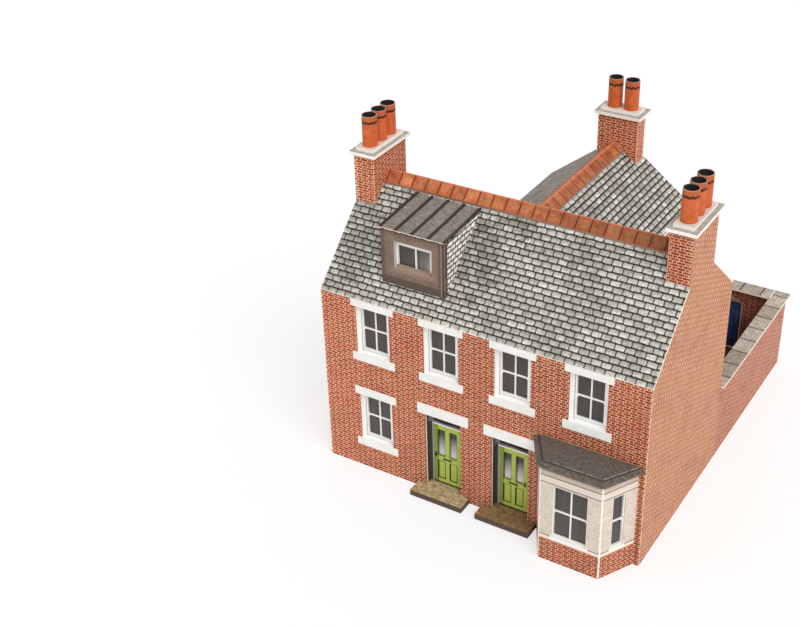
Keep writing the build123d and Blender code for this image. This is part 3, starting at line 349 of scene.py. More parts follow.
@dataclass(frozen=True)
class Finish:
    """Printed card: matt paper with a soft sheen, bare and paler where it was cut or folded."""

    printed: Printed = Printed.ALL
    cut_edge: str = "#DCD3C6"
    folds: tuple[Point, ...] = ()
    fold_colour: str = "#EDB493"
    fold_width: float = 0.5
    roughness: float = 0.55
    gloss: float = 0.25
    relief: float = 0.03

    def ink(self, face: CardFace) -> Ink:
        """Gives the print; each kind of finish draws its own."""
        raise NotImplementedError

    def marks(self, face: CardFace) -> Marks:
        """Lists what is printed over the ink, as covers and colours from the lowest up."""
        return []

    def bare(self, face: CardFace) -> Any:
        """Draws the card's unprinted faces, in a slightly clouded paper colour."""
        return face.times(self.cut_edge, face.clouds(0.6, 0.9, 1.04))

    def material(self, name: str) -> bpy.types.Material:
        """Builds the material.

        Args:
            name: The material's name.

        Returns:
            The material, with colour, roughness and relief from its nodes.
        """
        material = bpy.data.materials.new(name)
        face = CardFace(emptied(material))
        add = face.add
        ink = self.ink(face)
        colour = ink.colour
        for cover, shade in self.marks(face):
            colour = face.over(cover, colour, shade)
        if self.printed is not Printed.ALL:
            colour = face.over(face.carries(self.printed), self.bare(face), colour)
        for x, y in self.folds:
            # The ink cracks off along a fold, so its edge is ragged
            near, half = face.from_line(x, y, 0.12, 0.8), self.fold_width / 2
            worn = add("MapRange", [near, half * 0.7, half * 1.3, 0.92, 0.0])
            colour = face.over(worn, colour, self.fold_colour)
        # Paper fibre is under 0.1 mm and drawn at 0.4 mm so that it shows
        fibre = add("TexNoise", {"Vector": face.place, "Scale": 2.5, "Detail": 4.0, "Roughness": 0.7})
        sheen = add("MapRange", [fibre, 0.3, 0.7, self.roughness - 0.05, self.roughness + 0.08])
        height = add("Math", [fibre, 0.25, ink.height], operation="MULTIPLY_ADD")
        looks = {
            "Base Color": colour,
            "Roughness": sheen,
            "IOR": 1.48,
            "Specular IOR Level": self.gloss,
            "Normal": add("Bump", {"Strength": 0.8, "Distance": self.relief * MM, "Height": height}),
        }
        add("OutputMaterial", [add("BsdfPrincipled", looks)])
        return material

    def dress(self, name: str, *nodes: str) -> bpy.types.Material:
        """Builds the material under that name and puts it on those CAD nodes."""
        return dress(self.material(name), *nodes)


def dress(material: bpy.types.Material, *nodes: str) -> bpy.types.Material:
    """Puts a material on CAD nodes.

    Args:
        material: The material.
        *nodes: The nodes' names.

    Returns:
        The same material.
    """
    for node in nodes:
        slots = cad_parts[node].material_slots
        if not slots:
            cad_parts[node].data.materials.append(material)
        for slot in slots:
            slot.material = material
        log.info("node %s in %s", node, material.name)
    return material


@dataclass(frozen=True)
class PrintedBrick(Finish):
    """Red brick in Flemish bond, printed on matt card.

    The eye sees a busy red weave: long and short bricks by turns in each course, with pale
    pinkish mortar and a few bricks burnt dark. A long brick and a short one take 337 mm of the
    real house and a course 75 mm, at 1:78.
    """

    printed: Printed = Printed.UPRIGHT
    courses: Coursing = flemish_bond(joint=0.32, softness=0.06, corner=0.2, wobble=0.14)
    mortar: str = "#F0936A"
    fleck: str = "#FFE2C4"
    tints: Stops = ((0.0, "#601D10"), (0.25, "#702513"), (0.7, "#86311A"), (1.0, "#A24826"))
    burnt: str = "#482420"
    burnt_from: float = 0.975
    mauve: str = "#B0808A"
    ochre: str = "#B2834B"
    patch: str = "#CDA394"
    right_darkening: float = 1.0
    right_darkening_span: Point = (-60.0, -5.0)
    painted_shade_foot_span: Point = (2.0, 38.0)
    painted_shade_foot_shares: Point = (0.88, 0.96)
    shaded_side: float = 1.0
    shaded_span: Point = (8.0, 34.0)

    def ink(self, face: CardFace) -> Ink:
        """Draws the bricks, their mortar and the weathering over them.

        Args:
            face: The face's coordinates.

        Returns:
            The print's colour and relief.
        """
        add = face.add
        laid = self.courses.lay(face)
        brick = add("ValToRGB", [laid.chance], stops=self.tints)
        brick = face.over(face.beyond(laid.other_chance, self.burnt_from), brick, self.burnt)
        brick = face.times(brick, face.clouds(0.6, 0.76, 1.22))
        # The upright joints are almost white, the beds salmon
        joint = self.courses.joint
        upright = add("MapRange", [laid.from_side, joint * 0.35, joint * 0.65, 1.0, 0.0])
        pale = add("Math", [upright, face.clouds(1.1, 0.05, 0.75)], operation="MULTIPLY")
        pale = add("Math", [pale, face.clouds(1.3, 0.0, 0.5, sharp=(0.5, 0.66))], operation="MAXIMUM")
        mortar = face.over(pale, self.mortar, self.fleck)
        if self.right_darkening < 1:
            # Darker towards the right, and painted shade low down, most of all on the bricks
            right_shares = (self.right_darkening, (1 + self.right_darkening) / 2)
            brick, mortar = (
                face.times(part, add("MapRange", [face.x, *self.right_darkening_span, 1.0, share]))
                for part, share in zip((brick, mortar), right_shares)
            )
            brick, mortar = (
                face.times(part, add("MapRange", [face.z, *self.painted_shade_foot_span, share, 1.0]))
                for part, share in zip((brick, mortar), self.painted_shade_foot_shares)
            )
        colour = face.over(laid.joint, brick, mortar)
        # The inks drift over a few bricks at a time, now to mauve, now to ochre
        for size, most, shade in ((3.1, 0.14, self.mauve), (4.3, 0.24, self.ochre)):
            colour = face.over(face.clouds(size, 0.0, most, sharp=(0.52, 0.68)), colour, shade)
        colour = face.stain(face.clouds(9.0, 0.0, 0.4, 4.0, (0.5, 0.72)), colour, self.patch)
        if self.shaded_side < 1:
            # Painted shade inside a yard, darkest at the foot of the wall
            inside = add("Math", [face.facing_y, -0.4], operation="LESS_THAN")
            shades = (self.shaded_side * 0.55, self.shaded_side * 1.3)
            dusk = add("MapRange", [face.z, *self.shaded_span, *shades])
            colour = face.over(inside, colour, face.times(colour, dusk))
        return Ink(colour, laid.relief)


@dataclass(frozen=True)
class StreetBrick(PrintedBrick):
    """The street wall's card: brick outside, white in the window reveals, painted shade in the doorways."""

    printed: Printed = Printed.FRONT
    doorway_shade_ink: str = "#332A28"
    doorway_reach: float = 21.0
    doorway_top: float = 32.75
    wall_end: float = 60.4
    end_print: PrintedBrick = PrintedBrick()
    wall_face: float = -62.75
    white_rim: float = 0.55

    def bare(self, face: CardFace) -> Any:
        """Draws the reveals and the wall's ends.

        Args:
            face: The face's coordinates.

        Returns:
            The colour's socket.
        """
        add = face.add
        near = add("Math", [face.reach, self.doorway_reach], operation="LESS_THAN")
        low = add("Math", [face.z, self.doorway_top], operation="LESS_THAN")
        deep = face.beyond(face.y, self.wall_face + self.white_rim)
        doorway = add("Math", [add("Math", [near, low], operation="MULTIPLY"), deep], operation="MULTIPLY")
        # The doorways' reveals carry painted shade, all but a white rim at the front
        colour = face.over(doorway, super().bare(face), self.doorway_shade_ink)
        return face.over(face.beyond(face.reach, self.wall_end), colour, self.end_print.ink(face).colour)


@dataclass(frozen=True)
class PrintedSlate(Finish):
    """Welsh slate printed on card: pale worn slates with round corners, dark shadows and stains.

    A slate shows 265 mm by 165 mm of the real roof at 1:78.
    """

    printed: Printed = Printed.ABOVE
    cut_edge: str = "#F1EEE7"
    courses: Coursing = Coursing(
        length=3.43,
        height=2.145,
        joint=0.34,
        softness=0.12,
        corner=0.5,
        straggle=0.24,
        wobble=0.5,
        wobble_size=2.6,
        from_run=2.3,
        from_rise=0.78,
        wider_bed=0.14,
    )
    tints: Stops = ((0.0, "#A39F97"), (0.5, "#B4B1A9"), (1.0, "#C8C6BF"))
    joint_ink: str = "#25211D"
    edge_shade: float = 0.86
    tail: Point = (1.16, 0.68)
    patch: str = "#A8A394"
    moss: str = "#A9A37F"
    stains_and_shade: tuple[tuple[float, float, float, float], ...] = ()
    eaves_top: float = 0.0

    def ink(self, face: CardFace) -> Ink:
        """Draws the slates, their shaded edges and the weather stains.

        Args:
            face: The face's coordinates.

        Returns:
            The print's colour and relief.
        """
        add = face.add
        laid = self.courses.lay(face)
        slate = add("ValToRGB", [laid.chance], stops=self.tints)
        slate = face.over(face.clouds(3.7, 0.0, 0.2, sharp=(0.5, 0.7)), slate, self.moss)
        edge = add("MapRange", [laid.inset, 0.15, 0.6, self.edge_shade, 1.03])
        # The print shades each slate under the tails of the next course
        tail = add("MapRange", [laid.up, 0.25, 0.95, *self.tail])
        shade = add("Math", [edge, tail], operation="MULTIPLY")
        shade = add("Math", [shade, face.clouds(0.9, 0.72, 1.24, 4.0)], operation="MULTIPLY")
        colour = face.over(laid.joint, face.times(slate, shade), self.joint_ink)
        blot = face.clouds(14.0, 0.0, 0.45, sharp=(0.48, 0.7))
        # The listed patches darken the slates: weather stains, and painted shade beside the dormer
        for x, y, radius, cover in self.stains_and_shade:
            near = add("MapRange", [face.from_line(x, y, 4.0, 5.0), radius * 0.5, radius, cover, 0.0])
            blot = add("Math", [blot, near], operation="MAXIMUM")
        return Ink(face.stain(blot, colour, self.patch), laid.relief)

    def bare(self, face: CardFace) -> Any:
        """Draws the sheet's cut edges; the one over the street wall carries the wall's bricks.

        Args:
            face: The face's coordinates.

        Returns:
            The colour's socket.
        """
        cut = super().bare(face)
        if not self.eaves_top:
            return cut
        street = face.add("Math", [face.facing_y, -0.9], operation="LESS_THAN")
        below = face.add("Math", [face.z, self.eaves_top], operation="LESS_THAN")
        wall = face.add("Math", [street, below], operation="MULTIPLY")
        return face.over(wall, cut, PrintedBrick().ink(face).colour)


@dataclass(frozen=True)
class PrintedTiles(Finish):
    """Clay ridge tiles, slabs or flags printed on card: mottled units with thin dark joints."""

    printed: Printed = Printed.ABOVE
    courses: Coursing = Coursing(length=5.9, height=40.0, joint=0.3, shift=0.0)
    tints: Stops = ((0.0, "#B66F48"), (0.5, "#C67D50"), (1.0, "#D88E5E"))
    joint_ink: str = "#2E1C14"
    patch: str = "#AC9866"
    patch_size: float = 2.6
    patch_cover: float = 0.7
    speckle: float = 0.2
    speckle_size: float = 0.55
    edge_shade: float = 0.86
    right_darkening: float = 1.0
    right_darkening_span: Point = (-25.0, 45.0)
    apex: float = 0.0
    apex_ink: str = "#E89A74"
    rim_ink: str = "#C4552F"
    slope_fall: float = 3.4
    seam: Point | None = None
    seam_ink: str = "#EFE6D8"

    def ink(self, face: CardFace) -> Ink:
        """Draws the units, their joints and the mottling.

        Args:
            face: The face's coordinates.

        Returns:
            The print's colour and relief.
        """
        add = face.add
        laid = self.courses.lay(face)
        unit = add("ValToRGB", [laid.chance], stops=self.tints)
        unit = face.times(unit, face.clouds(self.speckle_size, 1 - self.speckle, 1 + self.speckle))
        blot = face.clouds(self.patch_size, 0.0, self.patch_cover, sharp=(0.42, 0.68))
        unit = face.stain(blot, unit, self.patch)
        unit = face.times(unit, add("MapRange", [laid.inset, 0.2, 1.1, self.edge_shade, 1.0]))
        if self.apex:
            half = self.slope_fall / 2
            inside = add("Math", [half, face.away(face.z, self.apex - half)], operation="SUBTRACT")
            inside = add("Math", [inside, laid.inset], operation="MINIMUM")
            inside = add("Math", [inside, face.clouds(1.2, -0.3, 0.3)], operation="ADD")
            unit = face.over(add("MapRange", [inside, 0.1, 1.1, 0.6, 0.0]), unit, self.rim_ink)
        if self.right_darkening < 1:
            unit = face.times(unit, add("MapRange", [face.x, *self.right_darkening_span, 1.0, self.right_darkening]))
        return Ink(face.over(laid.joint, unit, self.joint_ink), laid.relief)

    def marks(self, face: CardFace) -> Marks:
        """Draws the worn apex and the seam.

        Args:
            face: The face's coordinates.

        Returns:
            The marks, from the lowest up.
        """
        marks: Marks = []
        if self.apex:
            worn = face.add("MapRange", [face.z, self.apex - 0.4, self.apex - 0.15, 0.0, 0.4])
            marks.append((worn, self.apex_ink))
        if self.seam:
            # The side strip's edge shows white where the rear strip butts against it
            line = face.stripe(face.reach, self.seam[0], 0.12, 0.26, 0.9)
            line = face.add("Math", [line, face.beyond(face.y, self.seam[1])], operation="MULTIPLY")
            marks.append((line, self.seam_ink))
        return marks


@dataclass(frozen=True)
class PlainCard(Finish):
    """Card printed in one ink: an even colour with slight clouding and specks."""

    shade: str = "#F0EDE8"
    cloud: str = "#DEDAD3"
    cloud_size: float = 5.0
    speckle: float = 0.04
    speckle_size: float = 0.6

    def ink(self, face: CardFace) -> Ink:
        """Draws the even colour with its clouding.

        Args:
            face: The face's coordinates.

        Returns:
            The print's colour and relief.
        """
        drift = face.clouds(self.cloud_size, 0.0, 1.0, 4.0, (0.35, 0.7))
        speck = face.clouds(self.speckle_size, 1 - self.speckle, 1 + self.speckle)
        return Ink(face.times(face.over(drift, self.shade, self.cloud), speck), speck)


@dataclass(frozen=True)
class Band:
    """A band of card between two heights, in another ink, whole or worn into patches."""

    low: float
    high: float
    shade: str
    cover: float = 0.9
    worn: float = 0.0


@dataclass(frozen=True)
class SteppedCard(PlainCard):
    """Card whose colour changes at given heights, such as a cap's two slabs or a bay's cornice."""

    bands: tuple[Band, ...] = ()
    lines: tuple[float, ...] = ()
    line_width: float = 0.3
    line_ink: str = "#3F3733"

    def marks(self, face: CardFace) -> Marks:
        """Draws each band, then the thin lines.

        Args:
            face: The face's coordinates.

        Returns:
            The marks, from the lowest up.
        """
        marks: Marks = []
        for band in self.bands:
            middle, half = (band.low + band.high) / 2, (band.high - band.low) / 2
            cover = face.stripe(face.z, middle, half - 0.03, half + 0.03, band.cover)
            if band.worn:
                patches = face.clouds(1.1, 0.0, 1.0, sharp=(band.worn - 0.05, band.worn + 0.05))
                cover = face.add("Math", [cover, patches], operation="MULTIPLY")
            marks.append((cover, band.shade))
        for level in self.lines:
            line = face.stripe(face.z, level, self.line_width * 0.25, self.line_width * 0.65, 0.92)
            marks.append((line, self.line_ink))
        return marks


@dataclass(frozen=True)
class StepCard(PlainCard):
    """The door steps' card: sandy olive, and darker and redder on the right-hand step."""

    right_step_tone: str = "#CEBBAB"

    def ink(self, face: CardFace) -> Ink:
        """Draws the steps, then darkens the right-hand one."""
        step = super().ink(face)
        return Ink(face.stain(face.beyond(face.x, 0.0), step.colour, self.right_step_tone), step.height)


@dataclass(frozen=True)
class FrameCard(PlainCard):
    """White card window frame with a soft grey line of painted shade where it meets its wall card."""

    shade: str = "#F2F1EE"
    cloud: str = "#EAE8E4"
    speckle: float = 0.02
    pitch: float = 26.803
    shade_line_left: float = -5.4
    shade_line_feet: tuple[float, ...] = (50.3, 13.5)
    line_ink: str = "#8E9095"
    line_width: float = 0.3

    def marks(self, face: CardFace) -> Marks:
        """Draws a painted shade line down the left and along the foot of each sash.

        Args:
            face: The face's coordinates.

        Returns:
            The marks, from the lowest up.
        """
        add = face.add
        local = add("Math", [face.x, self.pitch, 0.0], operation="WRAP")
        local = add("Math", [local, -self.pitch / 2], operation="ADD")
        core, edge = self.line_width * 0.3, self.line_width * 0.75
        line = face.stripe(local, self.shade_line_left, core, edge, 0.9)
        sash = face.beyond(local, self.shade_line_left)
        for level in self.shade_line_feet:
            foot = face.stripe(face.z, level, core, edge, 0.6)
            foot = add("Math", [foot, sash], operation="MULTIPLY")
            line = add("Math", [line, foot], operation="MAXIMUM")
        return [(line, self.line_ink)]


@dataclass(frozen=True)
class PotPaper(Finish):
    """Terracotta paper rolled into chimney pots: orange outside, dark at the cut rim, black painted shade
    inside.
    """

    clay: str = "#D3693A"
    deep_clay: str = "#B85529"
    smoked: str = "#93583A"
    ring_ink: str = "#35221C"
    painted_shade: str = "#2B2A2B"
    rim: str = "#BE8868"
    top: float = 125.0
    middle: Point = (57.1, -28.35)
    spacing: Point = (200.0, 5.75)
    mirrored: bool = True
    wall_radius: float = 2.42
    ring_drop: float = 2.25
    ring_waves: float = 9.0

    def ink(self, face: CardFace) -> Ink:
        """Draws the clay."""
        drift = face.clouds(2.2, 0.0, 1.0, 4.0, (0.35, 0.7))
        return Ink(face.over(drift, self.clay, self.deep_clay), drift)

    def marks(self, face: CardFace) -> Marks:
        """Draws the smoked head, the wavy ring under it, the rim and the painted shade inside.

        Args:
            face: The face's coordinates.

        Returns:
            The marks, from the lowest up.
        """
        add = face.add
        across = face.reach if self.mirrored else face.x
        offsets = []
        for value, centre, pitch in zip((across, face.y), self.middle, self.spacing):
            off = add("Math", [value, -centre], operation="ADD")
            offsets.append(add("Math", [off, pitch / 2, -pitch / 2], operation="WRAP"))
        flat = add("CombineXYZ", [*offsets, 0.0])
        radius = add("VectorMath", [flat], operation="LENGTH").outputs["Value"]
        turn = add("Math", offsets, operation="ARCTAN2")
        wave = add("Math", [turn, self.ring_waves], operation="MULTIPLY")
        wave = add("Math", [wave], operation="SINE")
        level = add("Math", [wave, 0.12, face.z], operation="MULTIPLY_ADD")
        ring_z = self.top - self.ring_drop
        return [
            (add("Math", [face.beyond(face.z, ring_z, 0.3), 0.35], operation="MULTIPLY"), self.smoked),
            (face.stripe(level, ring_z, 0.34, 0.56, 0.94), self.ring_ink),
            (face.beyond(face.z, self.top - 0.12), self.rim),
            (add("Math", [radius, self.wall_radius], operation="LESS_THAN"), self.painted_shade),
        ]


@dataclass(frozen=True)
class WindowFilm(Finish):
    """Clear film painted dark grey for the shaded rooms behind it: smooth, glossy, a little lighter low
    down.
    """

    roughness: float = 0.18
    gloss: float = 0.5
    dark: str = "#3A3532"
    light: str = "#4C4642"
    fade_from: float = 0.0
    fade_to: float = 1.0
    streak: float = 0.25
    sky: str = "#A29E8E"
    sky_from: Point | None = None

    def ink(self, face: CardFace) -> Ink:
        """Draws the rooms' painted shade with a fade up the pane and faint upright streaks.

        Args:
            face: The face's coordinates.

        Returns:
            The print's colour and relief.
        """
        add = face.add
        fade = add("MapRange", [face.z, self.fade_from, self.fade_to, 0.0, 1.0])
        colour = face.over(fade, self.light, self.dark)
        if self.sky_from:
            # A painted reflection: one light mirrors the sky low down on its right
            across = add("MapRange", [face.x, *self.sky_from, 0.0, 1.0])
            low = add("MapRange", [face.z, self.fade_to, self.fade_from, 0.15, 1.0])
            colour = face.over(add("Math", [across, low], operation="MULTIPLY"), colour, self.sky)
        tall = add("CombineXYZ", [face.x, face.y, add("Math", [face.z, 0.12], operation="MULTIPLY")])
        streak = add("TexNoise", {"Vector": tall, "Scale": 0.55, "Detail": 3.0, "Roughness": 0.6})
        streak = add("MapRange", [streak, 0.3, 0.7, 1 - self.streak, 1 + self.streak])
        return Ink(face.times(colour, streak), 0.0)


@dataclass(frozen=True)
class Framed:
    """An upright rectangle on a print: its middle's run and height, and its half width and height."""

    run: float
    height: float
    half_width: float
    half_height: float

    def outside(self, face: CardFace, run: Any, height: Any) -> Any:
        """Gives how far outside the rectangle a point is, below 0 inside it.

        Args:
            face: The face's coordinates.
            run: The point's run, from the same start as the rectangle's.
            height: The point's height.

        Returns:
            The distance's socket.
        """
        across = face.add("Math", [face.away(run, self.run), self.half_width], operation="SUBTRACT")
        upward = face.add("Math", [face.away(height, self.height), self.half_height], operation="SUBTRACT")
        return face.add("Math", [across, upward], operation="MAXIMUM")


@dataclass(frozen=True)
class DoorPrint(PlainCard):
    """Green door printed on card: lime stiles and rails with dark lines round lights and panels."""

    shade: str = "#B0BE5A"
    cloud: str = "#A1B04B"
    line_ink: str = "#2C3812"
    shadow_ink: str = "#778A35"
    foot_shadow_ink: str = "#15190F"
    door_x: float = 13.005
    lights: Framed = Framed(2.35, 19.95, 1.45, 5.65)
    panels: Framed = Framed(2.35, 8.3, 1.4, 3.7)
    shadow_from: float = -3.85
    foot: float = 2.85

    def marks(self, face: CardFace) -> Marks:
        """Draws the shaded hinge side, a line round each light and panel, and a painted shadow at the foot.

        Args:
            face: The face's coordinates.

        Returns:
            The marks, from the lowest up.
        """
        add = face.add
        side = add("Math", [face.x], operation="SIGN")
        local = add("Math", [side, -self.door_x, face.x], operation="MULTIPLY_ADD")
        folded = add("Math", [local], operation="ABSOLUTE")
        lights, panels = (box.outside(face, folded, face.z) for box in (self.lights, self.panels))
        shaded = add("MapRange", [local, self.shadow_from - 0.3, self.shadow_from + 0.1, 0.85, 0.0])
        foot = add("MapRange", [face.z, self.foot - 0.1, self.foot + 0.15, 0.95, 0.0])
        return [
            (shaded, self.shadow_ink),
            (face.stripe(local, self.shadow_from, 0.08, 0.25, 0.6), self.line_ink),
            (face.stripe(lights, 0.0, 0.08, 0.2, 0.55), self.line_ink),
            (face.stripe(panels, 0.0, 0.136, 0.34, 0.95), self.line_ink),
            (foot, self.foot_shadow_ink),
        ]


@dataclass(frozen=True)
class DoorFramePrint(PlainCard):
    """Grey door frame: painted shade by the wall, light by the leaf, with a white line over the door."""

    shade: str = "#ADA9AA"
    cloud: str = "#9A9697"
    painted_shade: str = "#4A413E"
    transom: str = "#9D959B"
    line: str = "#F8F6F2"
    door_x: float = 13.005
    light_half: float = 5.95
    line_z: float = 27.72
    transom_z: float = 28.0

    def marks(self, face: CardFace) -> Marks:
        """Draws the painted shade by the wall, the striped transom and the white line.

        Args:
            face: The face's coordinates.

        Returns:
            The marks, from the lowest up.
        """
        add = face.add
        reach = face.away(face.reach, self.door_x)
        slant = add("Math", [face.x, 0.12, face.z], operation="MULTIPLY_ADD")
        stripes = add("Math", [add("Math", [slant, 5.2], operation="MULTIPLY")], operation="SINE")
        dark_stripes = add("MapRange", [stripes, -0.8, 0.8, 0.1, 0.6])
        transom = face.over(dark_stripes, self.transom, self.painted_shade)
        leaf = add("Math", [reach, self.light_half], operation="LESS_THAN")
        line = face.stripe(face.z, self.line_z, 0.16, 0.26, 1.0)
        return [
            (face.beyond(reach, self.light_half, 0.12), self.painted_shade),
            (face.beyond(face.z, self.transom_z), transom),
            (add("Math", [line, leaf], operation="MULTIPLY"), self.line),
        ]


@dataclass(frozen=True)
class BayStone(SteppedCard):
    """The bay's stone card, with a white sill printed under each window."""

    sills: tuple[Framed, ...] = ()
    sill_ink: str = "#F1EFEB"

    def marks(self, face: CardFace) -> Marks:
        """Draws the bands and lines, then the sills over them.

        Args:
            face: The face's coordinates.

        Returns:
            The marks, from the lowest up.
        """
        marks = super().marks(face)
        for sill in self.sills:
            outside = sill.outside(face, face.run, face.z)
            marks.append((face.add("MapRange", [outside, -0.05, 0.05, 1.0, 0.0]), self.sill_ink))
        return marks


@dataclass(frozen=True)
class YardBrick(PrintedBrick):
    """The yard walls' card: brick with painted shade on the inside, and pale cut edges at the gates."""

    gate_edges: tuple[float, ...] = ()
    edge_ink: str = "#C9BFB6"
    jamb: tuple[float, float, float] = (44.2, 2.8, 24.4)
    jamb_shade_ink: str = "#3A2A2A"

    def marks(self, face: CardFace) -> Marks:
        """Draws the gates' cut edges and jambs.

        Args:
            face: The face's coordinates.

        Returns:
            The marks, from the lowest up.
        """
        add = face.add
        sideways = face.carries(Printed.SIDE)
        strips = [(edge, 0.15, sideways, self.edge_ink) for edge in self.gate_edges]
        # Each gateway's outer jamb is drawn on the inside: a dark strip of painted shade, then a thin pale
        # line
        edge, foot, head = self.jamb
        tall = add("Math", [face.away(face.z, (foot + head) / 2), (head - foot) / 2], operation="LESS_THAN")
        inside = add("Math", [face.facing_y, -0.4], operation="LESS_THAN")
        inside = add("Math", [inside, tall], operation="MULTIPLY")
        strips += [(edge + 0.3, 0.3, inside, self.jamb_shade_ink), (edge + 0.72, 0.13, inside, self.edge_ink)]
        marks: Marks = []
        for middle, half, where, ink in strips:
            near = add("Math", [face.away(face.reach, middle), half], operation="LESS_THAN")
            marks.append((add("Math", [near, where], operation="MULTIPLY"), ink))
        return marks


@dataclass(frozen=True)
class LippedCard(PlainCard):
    """A sloping sheet whose cut edge is bare along its upper half, with painted shade below."""

    lip: tuple[float, float, float] = (0.0, 0.0, 0.0)
    painted_shade: str = "#4A3C30"

    def bare(self, face: CardFace) -> Any:
        """Draws the cut edge, with painted shade along its lower half.

        Args:
            face: The face's coordinates.

        Returns:
            The colour's socket.
        """
        front, level, slope = self.lip
        edge = face.add("Math", [face.y, -slope, face.z], operation="MULTIPLY_ADD")
        edge = face.add("Math", [edge, face.clouds(1.5, -0.15, 0.15)], operation="ADD")
        return face.over(face.beyond(edge, level - slope * front, 0.05), self.painted_shade, super().bare(face))


@dataclass(frozen=True)
class DormerBoard(PlainCard):
    """Weathered brown boarding of the dormer, darker round its edges and paler round the window."""

    printed: Printed = Printed.FRONT
    cut_edge: str = "#C9C5C0"
    shade: str = "#806A5C"
    cloud: str = "#6F5B4F"
    dark: str = "#54453C"
    pale: str = "#9A8272"
    sill: str = "#A89181"
    trim: str = "#B59C8A"
    trim_shadow: str = "#3D302A"
    speckle: float = 0.2
    window: Framed = Framed(-27.206, 88.4, 7.2, 5.1)
    left: float = -39.506
    right: float = -14.906
    foot: float = 79.8
    pale_span: Point = (82.0, 84.6)

    def marks(self, face: CardFace) -> Marks:
        """Draws the pale rim round the window, the darker edges and the corner trim.

        Args:
            face: The face's coordinates.

        Returns:
            The marks, from the lowest up.
        """
        add = face.add
        rim = add("MapRange", [self.window.outside(face, face.x, face.z), 0.4, 1.9, 1.0, 0.0])
        low = add("MapRange", [face.z, *self.pale_span, 0.85, 0.25])
        rim = add("Math", [rim, low], operation="MULTIPLY")
        return [
            (rim, self.pale),
            (add("MapRange", [face.z, self.foot - 0.25, self.foot + 0.25, 0.85, 0.0]), self.dark),
            (add("MapRange", [face.x, self.left + 1.2, self.left + 1.6, 0.6, 0.0]), self.dark),
            (add("MapRange", [face.x, self.right - 2.7, self.right - 2.3, 0.0, 0.7]), self.dark),
            (face.stripe(face.x, self.right - 0.8, 0.1, 0.26, 0.7), self.trim_shadow),
            (face.stripe(face.x, self.right - 1.5, 0.1, 0.26, 0.55), self.trim),
        ]

    def bare(self, face: CardFace) -> Any:
        """Draws the card's edges: grey round the window, brown on its sill and outside.

        Args:
            face: The face's coordinates.

        Returns:
            The colour's socket.
        """
        reveal = face.over(face.beyond(face.facing_z, 0.5), super().bare(face), self.sill)
        outside = self.window.outside(face, face.x, face.z)
        return face.over(face.beyond(outside, 0.6), reveal, self.dark)


class MeshMaker:
    """Collects card strips, bars and turned shapes in millimetres for one piece."""

    def __init__(self) -> None:
        """Starts an empty mesh."""
        self.mesh = bmesh.new()

    def prism(self, outline: Sequence[Vector], along: Vector) -> None:
        """Adds a solid with the outline as both ends.

        Args:
            outline: The first end's corners, in order round it.
            along: The way and distance to the other end.
        """
        near = [self.mesh.verts.new(p * MM) for p in outline]
        far = [self.mesh.verts.new((p + along) * MM) for p in outline]
        faces = [self.mesh.faces.new(near), self.mesh.faces.new(far[::-1])]
        for i in range(len(near)):
            j = (i + 1) % len(near)
            faces.append(self.mesh.faces.new((near[i], far[i], far[j], near[j])))
        bmesh.ops.recalc_face_normals(self.mesh, faces=faces)

    def lathe(self, profile: Sequence[Point], centre: Vector, axis: Vector, steps: int = 16) -> None:
        """Adds a turned shape.

        Args:
            profile: Radius and distance along the axis for each ring, ends included.
            centre: The axis's start.
            axis: The axis's direction, of length 1.
            steps: How many sides the turning has.
        """
        side = axis.orthogonal().normalized()
        other = axis.cross(side)
        rings = []
        for radius, height in profile:
            ring = []
            for k in range(steps):
                angle = math.tau * k / steps
                spot = side * math.cos(angle) + other * math.sin(angle)
                ring.append(self.mesh.verts.new((centre + axis * height + spot * radius) * MM))
            rings.append(ring)
        faces = []
        for low, high in zip(rings, rings[1:]):
            for k in range(steps):
                n = (k + 1) % steps
                faces.append(self.mesh.faces.new((low[k], low[n], high[n], high[k])))
        faces += [self.mesh.faces.new(rings[0]), self.mesh.faces.new(rings[-1])]
        bmesh.ops.recalc_face_normals(self.mesh, faces=faces)

    def piece(self, name: str, material: bpy.types.Material, slot: str) -> None:
        """Turns what was added into one piece that rides on the row.

        Args:
            name: The piece's name.
            material: Its material.
            slot: Not used.
        """
        data = bpy.data.meshes.new(name)
        self.mesh.to_mesh(data)
        self.mesh.free()
        data.materials.append(material)
        made = bpy.data.objects.new(name, data)
        bpy.context.scene.collection.objects.link(made)
        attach(made, "root")
        log.info("piece %s, %d faces", name, len(data.polygons))


@dataclass(frozen=True)
class Facade:
    """A flat face to build on: a place on it is a run to the right, a height and a step outwards."""

    start: Vector
    right: Vector
    out: Vector

    def at(self, run: float, height: float, out: float = 0.0) -> Vector:
        """Gives the point at that run, height and step outwards."""
        return self.start + self.right * run + self.out * out + Vector((0.0, 0.0, height))

    def behind(self, depth: float) -> "Facade":
        """Gives the same face further in by a depth."""
        return Facade(self.start - self.out * depth, self.right, self.out)

    def strip(
        self, maker: MeshMaker, low: Point, high: Point, near: float, far: float, chamfer: float = 0.0
    ) -> None:
        """Adds an upright card strip with its front edges eased.

        Args:
            maker: The mesh that it joins.
            low: Run and height of its lower left corner.
            high: Run and height of its upper right corner.
            near: Where its back is, as a step outwards.
            far: Where its front is.
            chamfer: How much is eased off the long front edges.
        """
        wide = high[0] - low[0] >= high[1] - low[1]
        a, b = (low[1], high[1]) if wide else (low[0], high[0])
        section = [(a, near), (a, far - chamfer), (a + chamfer, far)]
        section += [(b - chamfer, far), (b, far - chamfer), (b, near)]
        if wide:
            outline = [self.at(low[0], s, o) for s, o in section]
            along = self.right * (high[0] - low[0])
        else:
            outline = [self.at(s, low[1], o) for s, o in section]
            along = Vector((0.0, 0.0, high[1] - low[1]))
        maker.prism(outline, along)


def on_street(node: str, x: float = 0.0) -> Facade:
    """Gives a CAD node's face to the street, with its runs from that x."""
    return Facade(Vector((x, cad(node)[0].y, 0.0)), RIGHT, STREET)


